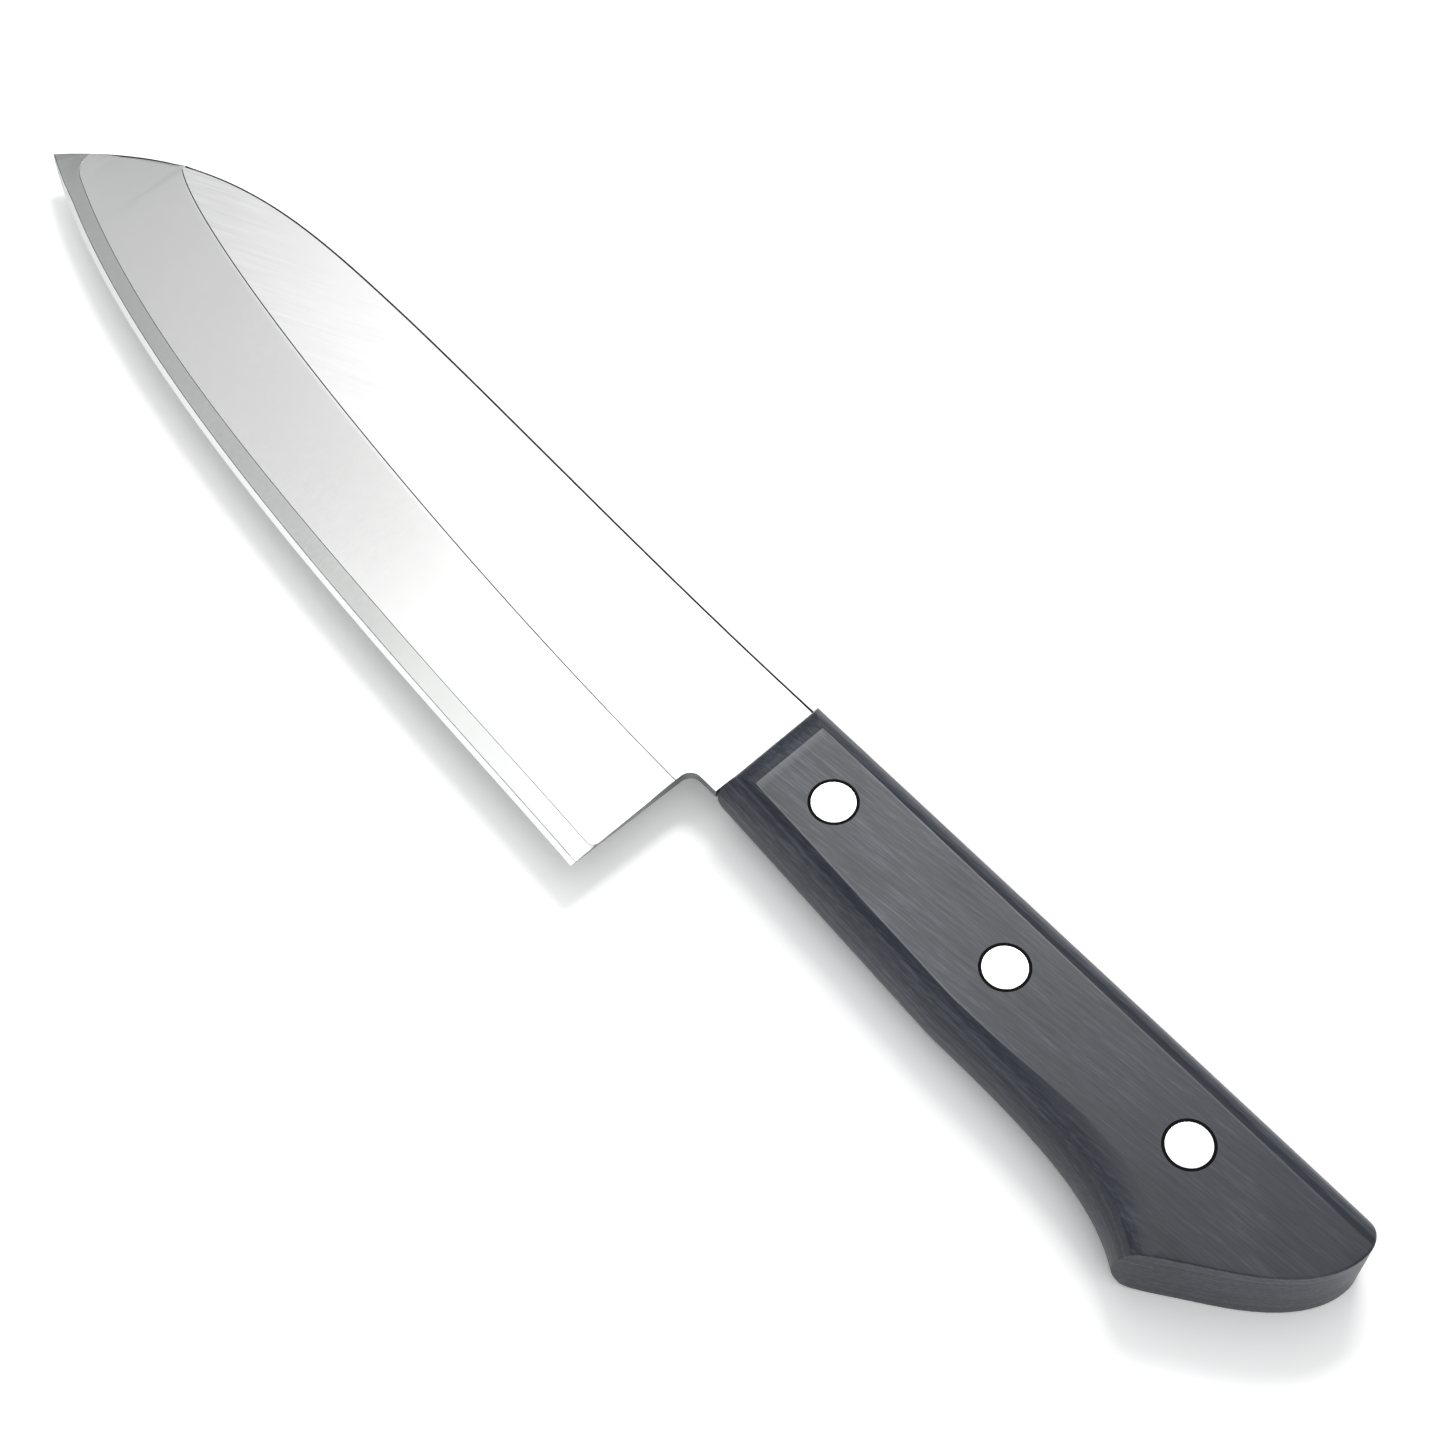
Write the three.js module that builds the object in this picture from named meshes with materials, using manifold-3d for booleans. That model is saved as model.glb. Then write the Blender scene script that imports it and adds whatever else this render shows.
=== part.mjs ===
// A chef knife of the broad, dropped-point kind: a blade of three forge-welded layers, a one-piece handle
// slotted from its back for the tang, and three two-part rivets. Millimetres, +Z up.
//
// The knife lies on its right cheek. It is laid out from the handle's front end and back line:
//   X is 0 at the handle's front end, positive towards the butt, negative towards the tip
//   Y is 0 on the handle's back line, negative towards the edge and the belly
//   Z is 0 on the right cheek, the face that the knife lies on
// The last lines move the whole knife so that the middle of its footprint is the origin.
import * as THREE from "three";
import { mergeVertices } from "three/addons/utils/BufferGeometryUtils.js";
import Module from "manifold-3d";

const wasm = await Module();
wasm.setup();

// ---- driving dimensions: blade -------------------------------------------------------------------------
const BLADE_LENGTH = 178.6; // heel corner to tip, measured along X
const HEEL_GAP = 6.2; // bare neck between the heel and the handle
const HEEL_DEPTH = 47.6; // handle's back line down to the heel corner
const TIP_DROP = 22.2; // handle's back line down to the tip
const STOCK = 2.0; // thickness of the flats and the tang
const CORE = 0.64; // thickness of the hard middle layer
const BACK_STEP = 0.2; // the blade's back lies this far below the handle's back line
const CROWN_RISE = 2.0; // highest point of the blade's back, above the handle's back line
const CROWN_TO_TIP = 72.8; // that point to the tip
const CORE_SHOW = 4.5; // height of the bare core above the edge
const HONE = 0.9; // height of the honed bevel
const HONE_HALF = 0.13; // half thickness where the honed bevel starts
const RIDGE_AT_HEEL = 25.4; // back line down to the ridge between flat and bevel, at the heel
const RIDGE_END = { back: 19.9, up: 15.3 }; // where the ridge runs out at the blade's back, from the tip
const POINT_TAPER = 4.5; // the layers end this far behind the tip
const NOTCH_R = 2.2; // hollow corner between the heel and the neck
const NECK_STEP = 0.2; // the neck's underside lies this far above the handle's belly

// How long and how steep each drawn curve leaves its ends, from the point that it starts at.
const BACK_PULL = { handle: 40, handleDip: 0.4, crown: 27, crownTip: 31, tip: 20.5, tipUp: 23.6 };
const EDGE_PULL = { heel: 37.5, heelUp: 2.5, tip: 46, tipDown: 22.2 };
const RIDGE_PULL = { heel: 67.5, heelUp: 1.2, tip: 12.4, tipDown: 7.4 };

// ---- driving dimensions: tang --------------------------------------------------------------------------
const TANG_TO_BUTT = 18.6; // solid handle behind the tang's end
const TANG_TO_BELLY = 4.0; // handle left under the tang at the front end
const TANG_RISE = 1.0; // the tang's underside rises this much to its end
const TANG_BACK_STEP = 0.6; // the tang's back lies this far below the handle's back line
const TANG_CORNER_R = 3;
const FIT = 0.3; // gap round the tang's edges and at the rivets' ends

// ---- driving dimensions: handle ------------------------------------------------------------------------
const HANDLE_LENGTH = 121.6;
const HANDLE_THICK = 15.4; // over the two cheeks
const FRONT_DEPTH = 22.2; // back line down to the belly at the front end
const WAIST_DEPTH = 25.5; // the same where the straight belly ends
const WAIST_AT = 52.4; // where the straight belly ends, from the front end
const BEAK = { fromButt: 24.7, depth: 32.0 }; // lowest point of the hooked butt
const BELLY_PULL = { waist: 24, waistUp: 0.4, beak: 8.6, beakUp: 5.6 };
const BUTT_CORNER_R = 6.2; // corner between the back and the butt
const BUTT_CUT = { fromButt: 12.2, depth: 23.1 }; // where the round of the butt meets its straight cut
const BUTT_BEND = 14.5; // back line down to the corner that the round of the butt is drawn towards
const BACK_BULGE = 1.8; // how far the back wall swells out between the cheeks
const BELLY_BULGE = 2.4;
const FRONT_BULGE = 2.0;
const EASE_DROP = 1.0; // height of the eased edges of the cheeks
const BACK_EASE = 2.4; // width of the eased edge along the back
const BELLY_EASE = 1.4;
const FRONT_EASE = 2.0;
const FRONT_LEAN = 0.9; // degrees that the front end leans back towards the belly

// ---- driving dimensions: rivets ------------------------------------------------------------------------
const RIVET_FIRST = 16.4; // front end to the first rivet
const RIVET_LAST = 28.6; // last rivet to the butt
const RIVET_BELOW_MID = 0.9; // first rivet below the middle of the handle's front end
const RIVET_FALL = 0.35; // each rivet lies this much lower than the one before
const HEAD_R = 3.65;
const HEAD_THICK = 1.4;
const BARREL_R = 2.5;
const SHANK_R = 1.6;
const SHANK_CLEAR = 0.1; // radial, stem in socket
const RIVET_CLEAR = 0.15; // radial, barrel in handle and tang
const HEAD_CLEAR = 0.3; // radial, head in its seat in the cheek
const SHANK_SHORT = 3.4; // the stem ends this far below the left cheek

// ---- worked out from them ------------------------------------------------------------------------------
const MID = HANDLE_THICK / 2;
const NECK_DEPTH = FRONT_DEPTH - NECK_STEP;
const TANG_LENGTH = HANDLE_LENGTH - TANG_TO_BUTT;
const TANG_DEPTH_FRONT = FRONT_DEPTH - TANG_TO_BELLY;
const TANG_DEPTH_REAR = TANG_DEPTH_FRONT - TANG_RISE;
const RIVET_PITCH = (HANDLE_LENGTH - RIVET_FIRST - RIVET_LAST) / 2;
const RIVET_DEPTH = FRONT_DEPTH / 2 + RIVET_BELOW_MID;
const TIP_X = -(HEEL_GAP + BLADE_LENGTH);
const OVER = 5; // how far a cutting body runs past what it cuts
const CURVE_STEPS = 200;
const BELLY_PAST = 4; // the belly line is carried past the beak by this many of its pulls
const TIP_CROWDING = 1.3; // above 1 the blade's stations crowd towards the tip
const BLADE_STATIONS = 48;
const HANDLE_STATIONS = 40;
const BULGE_STEPS = 8;
const ROUND_SEGMENTS = 36;

const v2 = (x, y) => new THREE.Vector2(x, y);

// The knife's drawn lines, each a curve in X and Y.
function bladeBack() {
  const start = v2(0, -BACK_STEP);
  const crown = v2(TIP_X + CROWN_TO_TIP, CROWN_RISE);
  const tip = v2(TIP_X, -TIP_DROP);
  const rise = new THREE.CubicBezierCurve(
    start,
    v2(start.x - BACK_PULL.handle, start.y - BACK_PULL.handleDip),
    v2(crown.x + BACK_PULL.crown, crown.y),
    crown,
  );
  const drop = new THREE.CubicBezierCurve(
    crown,
    v2(crown.x - BACK_PULL.crownTip, crown.y),
    v2(tip.x + BACK_PULL.tip, tip.y + BACK_PULL.tipUp),
    tip,
  );
  return [...rise.getPoints(CURVE_STEPS / 5), ...drop.getPoints(CURVE_STEPS / 4).slice(1)];
}

function edgeLine() {
  const heel = v2(-HEEL_GAP, -HEEL_DEPTH);
  const tip = v2(TIP_X, -TIP_DROP);
  return new THREE.CubicBezierCurve(
    heel,
    v2(heel.x - EDGE_PULL.heel, heel.y + EDGE_PULL.heelUp),
    v2(tip.x + EDGE_PULL.tip, tip.y - EDGE_PULL.tipDown),
    tip,
  ).getPoints(CURVE_STEPS);
}

function ridgeEnd() {
  return v2(TIP_X + RIDGE_END.back, -TIP_DROP + RIDGE_END.up);
}

function ridgeLine() {
  const heel = v2(-HEEL_GAP, -RIDGE_AT_HEEL);
  const end = ridgeEnd();
  const bend = v2(end.x + RIDGE_PULL.tip, end.y - RIDGE_PULL.tipDown);
  const line = new THREE.CubicBezierCurve(
    heel,
    v2(heel.x - RIDGE_PULL.heel, heel.y + RIDGE_PULL.heelUp),
    bend,
    end,
  ).getPoints(CURVE_STEPS);
  // Past the back of the blade the ridge is carried on straight, so that every section has one.
  const run = (end.x - TIP_X + OVER) / (bend.x - end.x);
  return [...line, v2(end.x - run * (bend.x - end.x), end.y + run * (end.y - bend.y))];
}

// The height Y of a line at X, for a line whose points run one way along X.
function heightAt(line, x) {
  const dir = Math.sign(line[line.length - 1].x - line[0].x);
  if (dir * (x - line[0].x) <= 0) return line[0].y;
  for (let i = 1; i < line.length; i++) {
    const a = line[i - 1];
    const b = line[i];
    if (dir * (b.x - x) >= 0) return a.y + ((b.y - a.y) * (x - a.x)) / (b.x - a.x);
  }
  return line[line.length - 1].y;
}

// ---- solids --------------------------------------------------------------------------------------------
function solid(geometry) {
  const bare = new THREE.BufferGeometry();
  const flat = geometry.index ? geometry.toNonIndexed() : geometry;
  bare.setAttribute("position", flat.getAttribute("position"));
  const merged = mergeVertices(bare, 1e-4);
  const vertProperties = merged.attributes.position.array;
  const triVerts = new Uint32Array(merged.index.array);
  return new wasm.Manifold(new wasm.Mesh({ numProp: 3, vertProperties, triVerts }));
}

function geometryOf(made) {
  const mesh = made.getMesh();
  const geometry = new THREE.BufferGeometry();
  geometry.setAttribute("position", new THREE.BufferAttribute(new Float32Array(mesh.vertProperties), 3));
  geometry.setIndex(new THREE.BufferAttribute(new Uint32Array(mesh.triVerts), 1));
  geometry.computeVertexNormals();
  return geometry;
}

// A closed solid through convex rings of as many points each. The rings follow each other towards -X, and
// each runs anticlockwise seen from +X.
function loft(rings) {
  const count = rings[0].length;
  const positions = rings.flat().flatMap((p) => [p.x, p.y, p.z]);
  const index = [];
  for (let i = 1; i < rings.length; i++) {
    for (let k = 0; k < count; k++) {
      const next = (k + 1) % count;
      const a = (i - 1) * count;
      const b = i * count;
      index.push(a + k, b + k, a + next, a + next, b + k, b + next);
    }
  }
  const last = (rings.length - 1) * count;
  for (let k = 1; k < count - 1; k++) {
    index.push(0, k, k + 1);
    index.push(last, last + k + 1, last + k);
  }
  const geometry = new THREE.BufferGeometry();
  geometry.setAttribute("position", new THREE.Float32BufferAttribute(positions, 3));
  geometry.setIndex(index);
  return solid(geometry);
}

// A plan outline (X, Y) made solid from one height to another.
function slab(outline, low, high) {
  const shape = outline instanceof THREE.Shape ? outline : new THREE.Shape(outline);
  const geometry = new THREE.ExtrudeGeometry(shape, {
    depth: high - low,
    bevelEnabled: false,
    curveSegments: 12,
  });
  return solid(geometry.translate(0, 0, low));
}

function box(x0, x1, y0, y1, z0, z1) {
  return slab([v2(x0, y0), v2(x1, y0), v2(x1, y1), v2(x0, y1)], z0, z1);
}

function upright(radius, x, y, low, high) {
  const geometry = new THREE.CylinderGeometry(radius, radius, high - low, ROUND_SEGMENTS);
  return solid(geometry.rotateX(Math.PI / 2).translate(x, y, (low + high) / 2));
}

// ---- blade ---------------------------------------------------------------------------------------------
// Half thickness along the ridge: full stock, then an even taper from the ridge's end towards the point.
function ridgeHalf(x) {
  const end = ridgeEnd().x;
  const layersEnd = TIP_X + POINT_TAPER;
  const slope = (STOCK / 2 - CORE / 2) / (end - layersEnd);
  return STOCK / 2 - Math.max(0, end - x) * slope;
}

// The ground blade, before its outline is cut: flats, ridge, bevels down to the core, honed edge.
function groundForm() {
  const edge = edgeLine();
  const ridge = ridgeLine();
  const from = -HEEL_GAP + OVER;
  const top = CROWN_RISE + OVER;
  const rings = [];
  for (let i = 0; i <= BLADE_STATIONS; i++) {
    const share = i / BLADE_STATIONS;
    const x = from + (TIP_X - from) * (1 - (1 - share) ** TIP_CROWDING);
    const edgeY = heightAt(edge, x);
    const ridgeZ = ridgeHalf(x);
    const coreZ = Math.min(CORE / 2, ridgeZ);
    const honeZ = Math.min(HONE_HALF, coreZ / 2);
    const half = [
      [top, ridgeZ],
      [heightAt(ridge, x), ridgeZ],
      [edgeY + CORE_SHOW, coreZ],
      [edgeY + HONE, honeZ],
    ];
    const left = half.map(([y, z]) => new THREE.Vector3(x, y, MID + z));
    const right = half.map(([y, z]) => new THREE.Vector3(x, y, MID - z)).reverse();
    rings.push([...left, new THREE.Vector3(x, edgeY, MID), ...right]);
  }
  return loft(rings);
}

// Outline of blade, neck and tang in plan. Along the edge it stays clear, because the ground form ends there.
function bladeOutline() {
  const back = bladeBack();
  const clear = -HEEL_DEPTH - OVER;
  const outline = new THREE.Shape();
  outline.moveTo(back[0].x, back[0].y);
  back.slice(1).forEach((p) => outline.lineTo(p.x, p.y));
  outline.lineTo(TIP_X - OVER, -TIP_DROP - OVER);
  outline.lineTo(TIP_X - OVER, clear);
  outline.lineTo(-HEEL_GAP, clear);
  outline.lineTo(-HEEL_GAP, -NECK_DEPTH - NOTCH_R);
  outline.absarc(-HEEL_GAP + NOTCH_R, -NECK_DEPTH - NOTCH_R, NOTCH_R, Math.PI, Math.PI / 2, true);
  outline.lineTo(-FIT, -NECK_DEPTH);
  outline.lineTo(-FIT, -TANG_DEPTH_FRONT);
  outline.lineTo(TANG_LENGTH - TANG_CORNER_R, -TANG_DEPTH_REAR);
  outline.lineTo(TANG_LENGTH, -TANG_DEPTH_REAR + TANG_CORNER_R);
  outline.lineTo(TANG_LENGTH, -TANG_BACK_STEP - TANG_CORNER_R);
  outline.lineTo(TANG_LENGTH - TANG_CORNER_R, -TANG_BACK_STEP);
  outline.lineTo(FIT, -TANG_BACK_STEP);
  outline.closePath();
  return outline;
}

// The blade as one ground blank: the layers are cut from it.
function blank() {
  const under = -NECK_DEPTH - NOTCH_R;
  const plate = box(-HEEL_GAP, TANG_LENGTH + 1, under, 1, MID - STOCK / 2, MID + STOCK / 2);
  const form = groundForm().add(plate);
  const cut = form.intersect(slab(bladeOutline(), MID - STOCK, MID + STOCK));
  return rivetPlaces().reduce(
    (body, { x, y }) => body.subtract(upright(BARREL_R + RIVET_CLEAR, x, y, MID - STOCK, MID + STOCK)),
    cut,
  );
}

function layer(body, low, high) {
  const near = HANDLE_LENGTH + OVER;
  return body.intersect(box(TIP_X - OVER, near, -HEEL_DEPTH - OVER, CROWN_RISE + OVER, low, high));
}

// ---- rivets --------------------------------------------------------------------------------------------
function rivetPlaces() {
  return ["front", "middle", "rear"].map((name, i) => ({
    name,
    x: RIVET_FIRST + i * RIVET_PITCH,
    y: -RIVET_DEPTH - i * RIVET_FALL,
  }));
}

function turned(profile) {
  const points = profile.map(([r, h]) => v2(r, h));
  return solid(new THREE.LatheGeometry(points, ROUND_SEGMENTS).rotateX(Math.PI / 2));
}

// Head flush with the right cheek, and a shank that goes up into the socket.
function rivetStem() {
  return turned([
    [0, 0],
    [HEAD_R, 0],
    [HEAD_R, HEAD_THICK],
    [SHANK_R, HEAD_THICK],
    [SHANK_R, HANDLE_THICK - SHANK_SHORT],
    [0, HANDLE_THICK - SHANK_SHORT],
  ]);
}

// Head flush with the left cheek, and a hollow barrel down to the stem's head.
function rivetSocket() {
  const foot = HEAD_THICK + FIT;
  const bore = SHANK_R + SHANK_CLEAR;
  const floor = HANDLE_THICK - SHANK_SHORT + FIT;
  return turned([
    [0, floor],
    [bore, floor],
    [bore, foot],
    [BARREL_R, foot],
    [BARREL_R, HANDLE_THICK - HEAD_THICK],
    [HEAD_R, HANDLE_THICK - HEAD_THICK],
    [HEAD_R, HANDLE_THICK],
    [0, HANDLE_THICK],
  ]);
}

// ---- handle --------------------------------------------------------------------------------------------
function bellyLine() {
  const waist = v2(WAIST_AT, -WAIST_DEPTH);
  const beak = v2(HANDLE_LENGTH - BEAK.fromButt, -BEAK.depth);
  const hook = new THREE.CubicBezierCurve(
    waist,
    v2(waist.x + BELLY_PULL.waist, waist.y + BELLY_PULL.waistUp),
    v2(beak.x - BELLY_PULL.beak, beak.y + BELLY_PULL.beakUp),
    beak,
  ).getPoints(CURVE_STEPS / 2);
  // Past the beak the line is carried on straight, to be cut off with the butt.
  const past = v2(beak.x + BELLY_PULL.beak * BELLY_PAST, beak.y - BELLY_PULL.beakUp * BELLY_PAST);
  return [v2(-OVER, -FRONT_DEPTH), v2(0, -FRONT_DEPTH), ...hook, past];
}

// A swollen wall as [inset, height] pairs, from the left cheek's edge to the right cheek's.
function wallProfile(bulge, ease) {
  const half = MID - EASE_DROP;
  const radius = (half * half + bulge * bulge) / (2 * bulge);
  const points = [[bulge + ease, HANDLE_THICK]];
  for (let i = 0; i <= BULGE_STEPS; i++) {
    const h = half - (2 * half * i) / BULGE_STEPS;
    points.push([radius - Math.sqrt(radius * radius - h * h), MID + h]);
  }
  points.push([bulge + ease, 0]);
  return points;
}

// The handle's long form: every section is two flat cheeks between a swollen back and a swollen belly.
function handleForm() {
  const belly = bellyLine();
  const back = wallProfile(BACK_BULGE, BACK_EASE);
  const under = wallProfile(BELLY_BULGE, BELLY_EASE).reverse();
  const end = HANDLE_LENGTH + 1;
  const rings = [];
  for (let i = 0; i <= HANDLE_STATIONS; i++) {
    const x = end - ((end + 1) * i) / HANDLE_STATIONS;
    const bellyY = heightAt(belly, x);
    rings.push([
      ...under.map(([inset, z]) => new THREE.Vector3(x, bellyY + inset, z)),
      ...back.map(([inset, z]) => new THREE.Vector3(x, -inset, z)),
    ]);
  }
  return loft(rings.map((ring) => ring.reverse()));
}

// The plan outline that cuts the butt: back corner, round, and the straight cut down to the beak.
function buttOutline() {
  const butt = HANDLE_LENGTH;
  const cut = v2(butt - BUTT_CUT.fromButt, -BUTT_CUT.depth);
  const beak = v2(butt - BEAK.fromButt, -BEAK.depth);
  const past = beak.clone().add(beak.clone().sub(cut));
  const outline = new THREE.Shape();
  outline.moveTo(-OVER, 0);
  outline.lineTo(-OVER, past.y);
  outline.lineTo(past.x, past.y);
  outline.lineTo(cut.x, cut.y);
  outline.quadraticCurveTo(butt, -BUTT_BEND, butt, -BUTT_CORNER_R);
  outline.absarc(butt - BUTT_CORNER_R, -BUTT_CORNER_R, BUTT_CORNER_R, 0, Math.PI / 2, false);
  outline.closePath();
  return slab(outline, -1, HANDLE_THICK + 1);
}

// The side profile (X, Z) that shapes the front end, as a body across the whole handle.
function frontForm() {
  const profile = wallProfile(FRONT_BULGE, FRONT_EASE).map(([inset, z]) => v2(inset, z));
  profile.push(v2(HANDLE_LENGTH + OVER, 0), v2(HANDLE_LENGTH + OVER, HANDLE_THICK));
  const depth = BEAK.depth + 2 * OVER;
  const geometry = new THREE.ExtrudeGeometry(new THREE.Shape(profile), { depth, bevelEnabled: false });
  // Drawn in X and Y and pulled along Z, then turned so that it is pulled along -Y, and leaned back.
  const lean = THREE.MathUtils.degToRad(FRONT_LEAN);
  return solid(geometry.rotateX(Math.PI / 2).translate(0, OVER, 0).rotateZ(lean));
}

// The room for the tang: open at the front end and along the back.
function tangSlot() {
  const outline = new THREE.Shape([
    v2(-OVER, OVER),
    v2(-OVER, -TANG_DEPTH_FRONT - FIT),
    v2(TANG_LENGTH + FIT, -TANG_DEPTH_REAR - FIT),
    v2(TANG_LENGTH + FIT, OVER),
  ]);
  return slab(outline, MID - STOCK / 2, MID + STOCK / 2);
}

function handleBody() {
  const shaped = handleForm().intersect(buttOutline()).intersect(frontForm()).subtract(tangSlot());
  return rivetPlaces().reduce(
    (body, { x, y }) =>
      body
        .subtract(upright(BARREL_R + RIVET_CLEAR, x, y, -1, HANDLE_THICK + 1))
        .subtract(upright(HEAD_R + HEAD_CLEAR, x, y, -1, HEAD_THICK))
        .subtract(upright(HEAD_R + HEAD_CLEAR, x, y, HANDLE_THICK - HEAD_THICK, HANDLE_THICK + 1)),
    shaped,
  );
}

// ---- the scene -----------------------------------------------------------------------------------------
const knife = new THREE.Group();

function add(name, made, material, x = 0, y = 0) {
  const mesh = new THREE.Mesh(geometryOf(made), new THREE.MeshStandardMaterial(material));
  mesh.name = name;
  mesh.position.set(x, y, 0);
  knife.add(mesh);
}

const COVER_STEEL = { color: 0xd6d7d6, roughness: 0.3, metalness: 1 };
const CORE_STEEL = { color: 0xa9aaa8, roughness: 0.42, metalness: 1 };
const LAMINATED_WOOD = { color: 0x3a3f47, roughness: 0.5, metalness: 0 };
const RIVET_STEEL = { color: 0xececec, roughness: 0.22, metalness: 1 };

const ground = blank();
add("blade_core", layer(ground, MID - CORE / 2, MID + CORE / 2), CORE_STEEL);
add("cladding_left", layer(ground, MID + CORE / 2, MID + STOCK), COVER_STEEL);
add("cladding_right", layer(ground, MID - STOCK, MID - CORE / 2), COVER_STEEL);
add("handle", handleBody(), LAMINATED_WOOD);
for (const { name, x, y } of rivetPlaces()) {
  add(`${name}_rivet_socket`, rivetSocket(), RIVET_STEEL, x, y);
  add(`${name}_rivet_stem`, rivetStem(), RIVET_STEEL, x, y);
}

const middle = new THREE.Box3().setFromObject(knife, true).getCenter(new THREE.Vector3());
knife.position.set(-middle.x, -middle.y, 0);

const group = new THREE.Group();
group.add(knife);

export default group;
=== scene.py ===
# %% [markdown]
# # A three-layer kitchen knife
# The imported model of the knife is loaded first, as a fixed frame. It says where every piece is and how
# large it is. Each piece is then made again with finer edges and a real finish, on exactly the same place,
# and the plain node that it stands for is hidden. The box of the plain model is kept.

# %% Load the frame
import math

import bmesh
import bpy
import numpy as np
from mathutils import Matrix, Vector


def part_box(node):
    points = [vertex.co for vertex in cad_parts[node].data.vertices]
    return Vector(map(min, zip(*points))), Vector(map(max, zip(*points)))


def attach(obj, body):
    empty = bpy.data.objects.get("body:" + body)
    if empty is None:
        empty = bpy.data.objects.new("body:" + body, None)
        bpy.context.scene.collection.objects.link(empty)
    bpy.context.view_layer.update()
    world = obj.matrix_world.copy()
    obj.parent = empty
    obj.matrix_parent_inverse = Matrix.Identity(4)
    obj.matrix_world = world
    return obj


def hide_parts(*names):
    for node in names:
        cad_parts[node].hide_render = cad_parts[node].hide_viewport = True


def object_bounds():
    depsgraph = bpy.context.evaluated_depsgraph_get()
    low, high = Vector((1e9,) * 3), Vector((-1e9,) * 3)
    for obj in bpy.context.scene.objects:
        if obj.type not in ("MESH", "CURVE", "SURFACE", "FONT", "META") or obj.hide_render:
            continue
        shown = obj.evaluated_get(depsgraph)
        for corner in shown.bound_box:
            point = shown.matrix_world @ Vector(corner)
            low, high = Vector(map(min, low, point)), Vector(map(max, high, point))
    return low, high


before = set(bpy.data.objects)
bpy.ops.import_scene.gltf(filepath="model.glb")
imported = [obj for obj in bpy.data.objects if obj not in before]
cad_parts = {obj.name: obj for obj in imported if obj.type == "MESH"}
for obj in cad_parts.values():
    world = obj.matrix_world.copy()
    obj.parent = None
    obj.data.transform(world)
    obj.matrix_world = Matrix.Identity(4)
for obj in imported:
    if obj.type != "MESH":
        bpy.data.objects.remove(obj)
CAD_LOW, CAD_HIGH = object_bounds()
print("frame box in mm", [round(1000 * (b - a), 2) for a, b in zip(CAD_LOW, CAD_HIGH)])

# %% [markdown]
# ## One bench for every piece
# A knife maker measures from the front end of the handle and from the line of its back. The same bench is
# used here: X is 0 at the handle's front end and grows towards the butt, Y is 0 on the back line and falls
# towards the edge, Z is 0 on the cheek that the knife lies on. Shapes are written in millimetres on this
# bench, and one helper turns them into metres in the frame. The thicknesses are read off the frame's own
# boxes.

# %% Bench and thicknesses
MM = 0.001
HANDLE_LENGTH = 121.6
handle_low, handle_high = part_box("handle")
core_low, core_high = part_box("blade_core")
left_low, left_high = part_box("cladding_left")
right_low, right_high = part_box("cladding_right")
BENCH = Vector((handle_high.x - HANDLE_LENGTH * MM, handle_high.y, handle_low.z))
THICK = (handle_high.z - handle_low.z) / MM
MID = THICK / 2
STOCK = (left_high.z - right_low.z) / MM
CORE = (core_high.z - core_low.z) / MM
TIP_DEPTH = 22.2
TIP = Vector(((core_low.x - BENCH.x) / MM, -TIP_DEPTH))
HEEL_GAP = 6.2
HEEL_DEPTH = (BENCH.y - core_low.y) / MM
print("handle", round(THICK, 2), "stock", round(STOCK, 2), "core", round(CORE, 2), "tip at", round(TIP.x, 1))


def on_bench(x, y, z):
    """A point in bench millimetres as a point of the frame in metres."""
    return (BENCH.x + x * MM, BENCH.y + y * MM, BENCH.z + z * MM)


# %% [markdown]
# ## Drawn lines
# A blade is drawn with a few long curves before it is cut: its back, its edge, the ridge between the flat
# and the ground bevel, and the line where the outer layer stops and the hard core shows. A cubic curve with
# one pull at each end gives each of them with a handful of numbers, and a table lookup then gives its
# height at any X.

# %% Curves
def cubic(start, pull_a, pull_b, end, steps):
    """Points of one cubic curve, both ends included."""
    t = np.linspace(0, 1, steps + 1)[:, None]
    a, b, c, d = (np.array(p, float) for p in (start, pull_a, pull_b, end))
    return (1 - t) ** 3 * a + 3 * t * (1 - t) ** 2 * b + 3 * t * t * (1 - t) * c + t ** 3 * d


def height_at(line, x):
    """Height of a drawn line at X. The line's points run one way along X."""
    order = np.argsort(line[:, 0])
    return np.interp(x, line[order, 0], line[order, 1])


def smooth_step(x, low, high):
    """0 below low, 1 above high, and a soft rise between them."""
    t = np.clip((x - low) / (high - low), 0, 1)
    return t * t * (3 - 2 * t)


BACK_AT_HANDLE = (0, -0.2)
RIDGE_DEPTH = 25.4
CROWN = (TIP.x + 72.8, 2.0)
RIDGE_END = (TIP.x + 19.9, TIP.y + 15.3)
RIDGE_BEND = (RIDGE_END[0] + 12.4, RIDGE_END[1] - 7.4)
back_line = np.vstack([
    cubic(BACK_AT_HANDLE, (-40, -0.6), (CROWN[0] + 27, CROWN[1]), CROWN, 40),
    cubic(CROWN, (CROWN[0] - 31, CROWN[1]), (TIP.x + 20.5, TIP.y + 23.6), TIP, 60)[1:],
])
edge_line = cubic((-HEEL_GAP, -HEEL_DEPTH), (-HEEL_GAP - 37.5, 2.5 - HEEL_DEPTH),
                  (TIP.x + 46, TIP.y - 22.2), TIP, 200)
ridge_line = cubic((-HEEL_GAP, -RIDGE_DEPTH), (-HEEL_GAP - 67.5, -24.2), RIDGE_BEND, RIDGE_END, 110)
print("blade", round(-HEEL_GAP - TIP.x, 1), "mm from heel to tip, ridge ends", np.round(RIDGE_END, 1))

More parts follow.
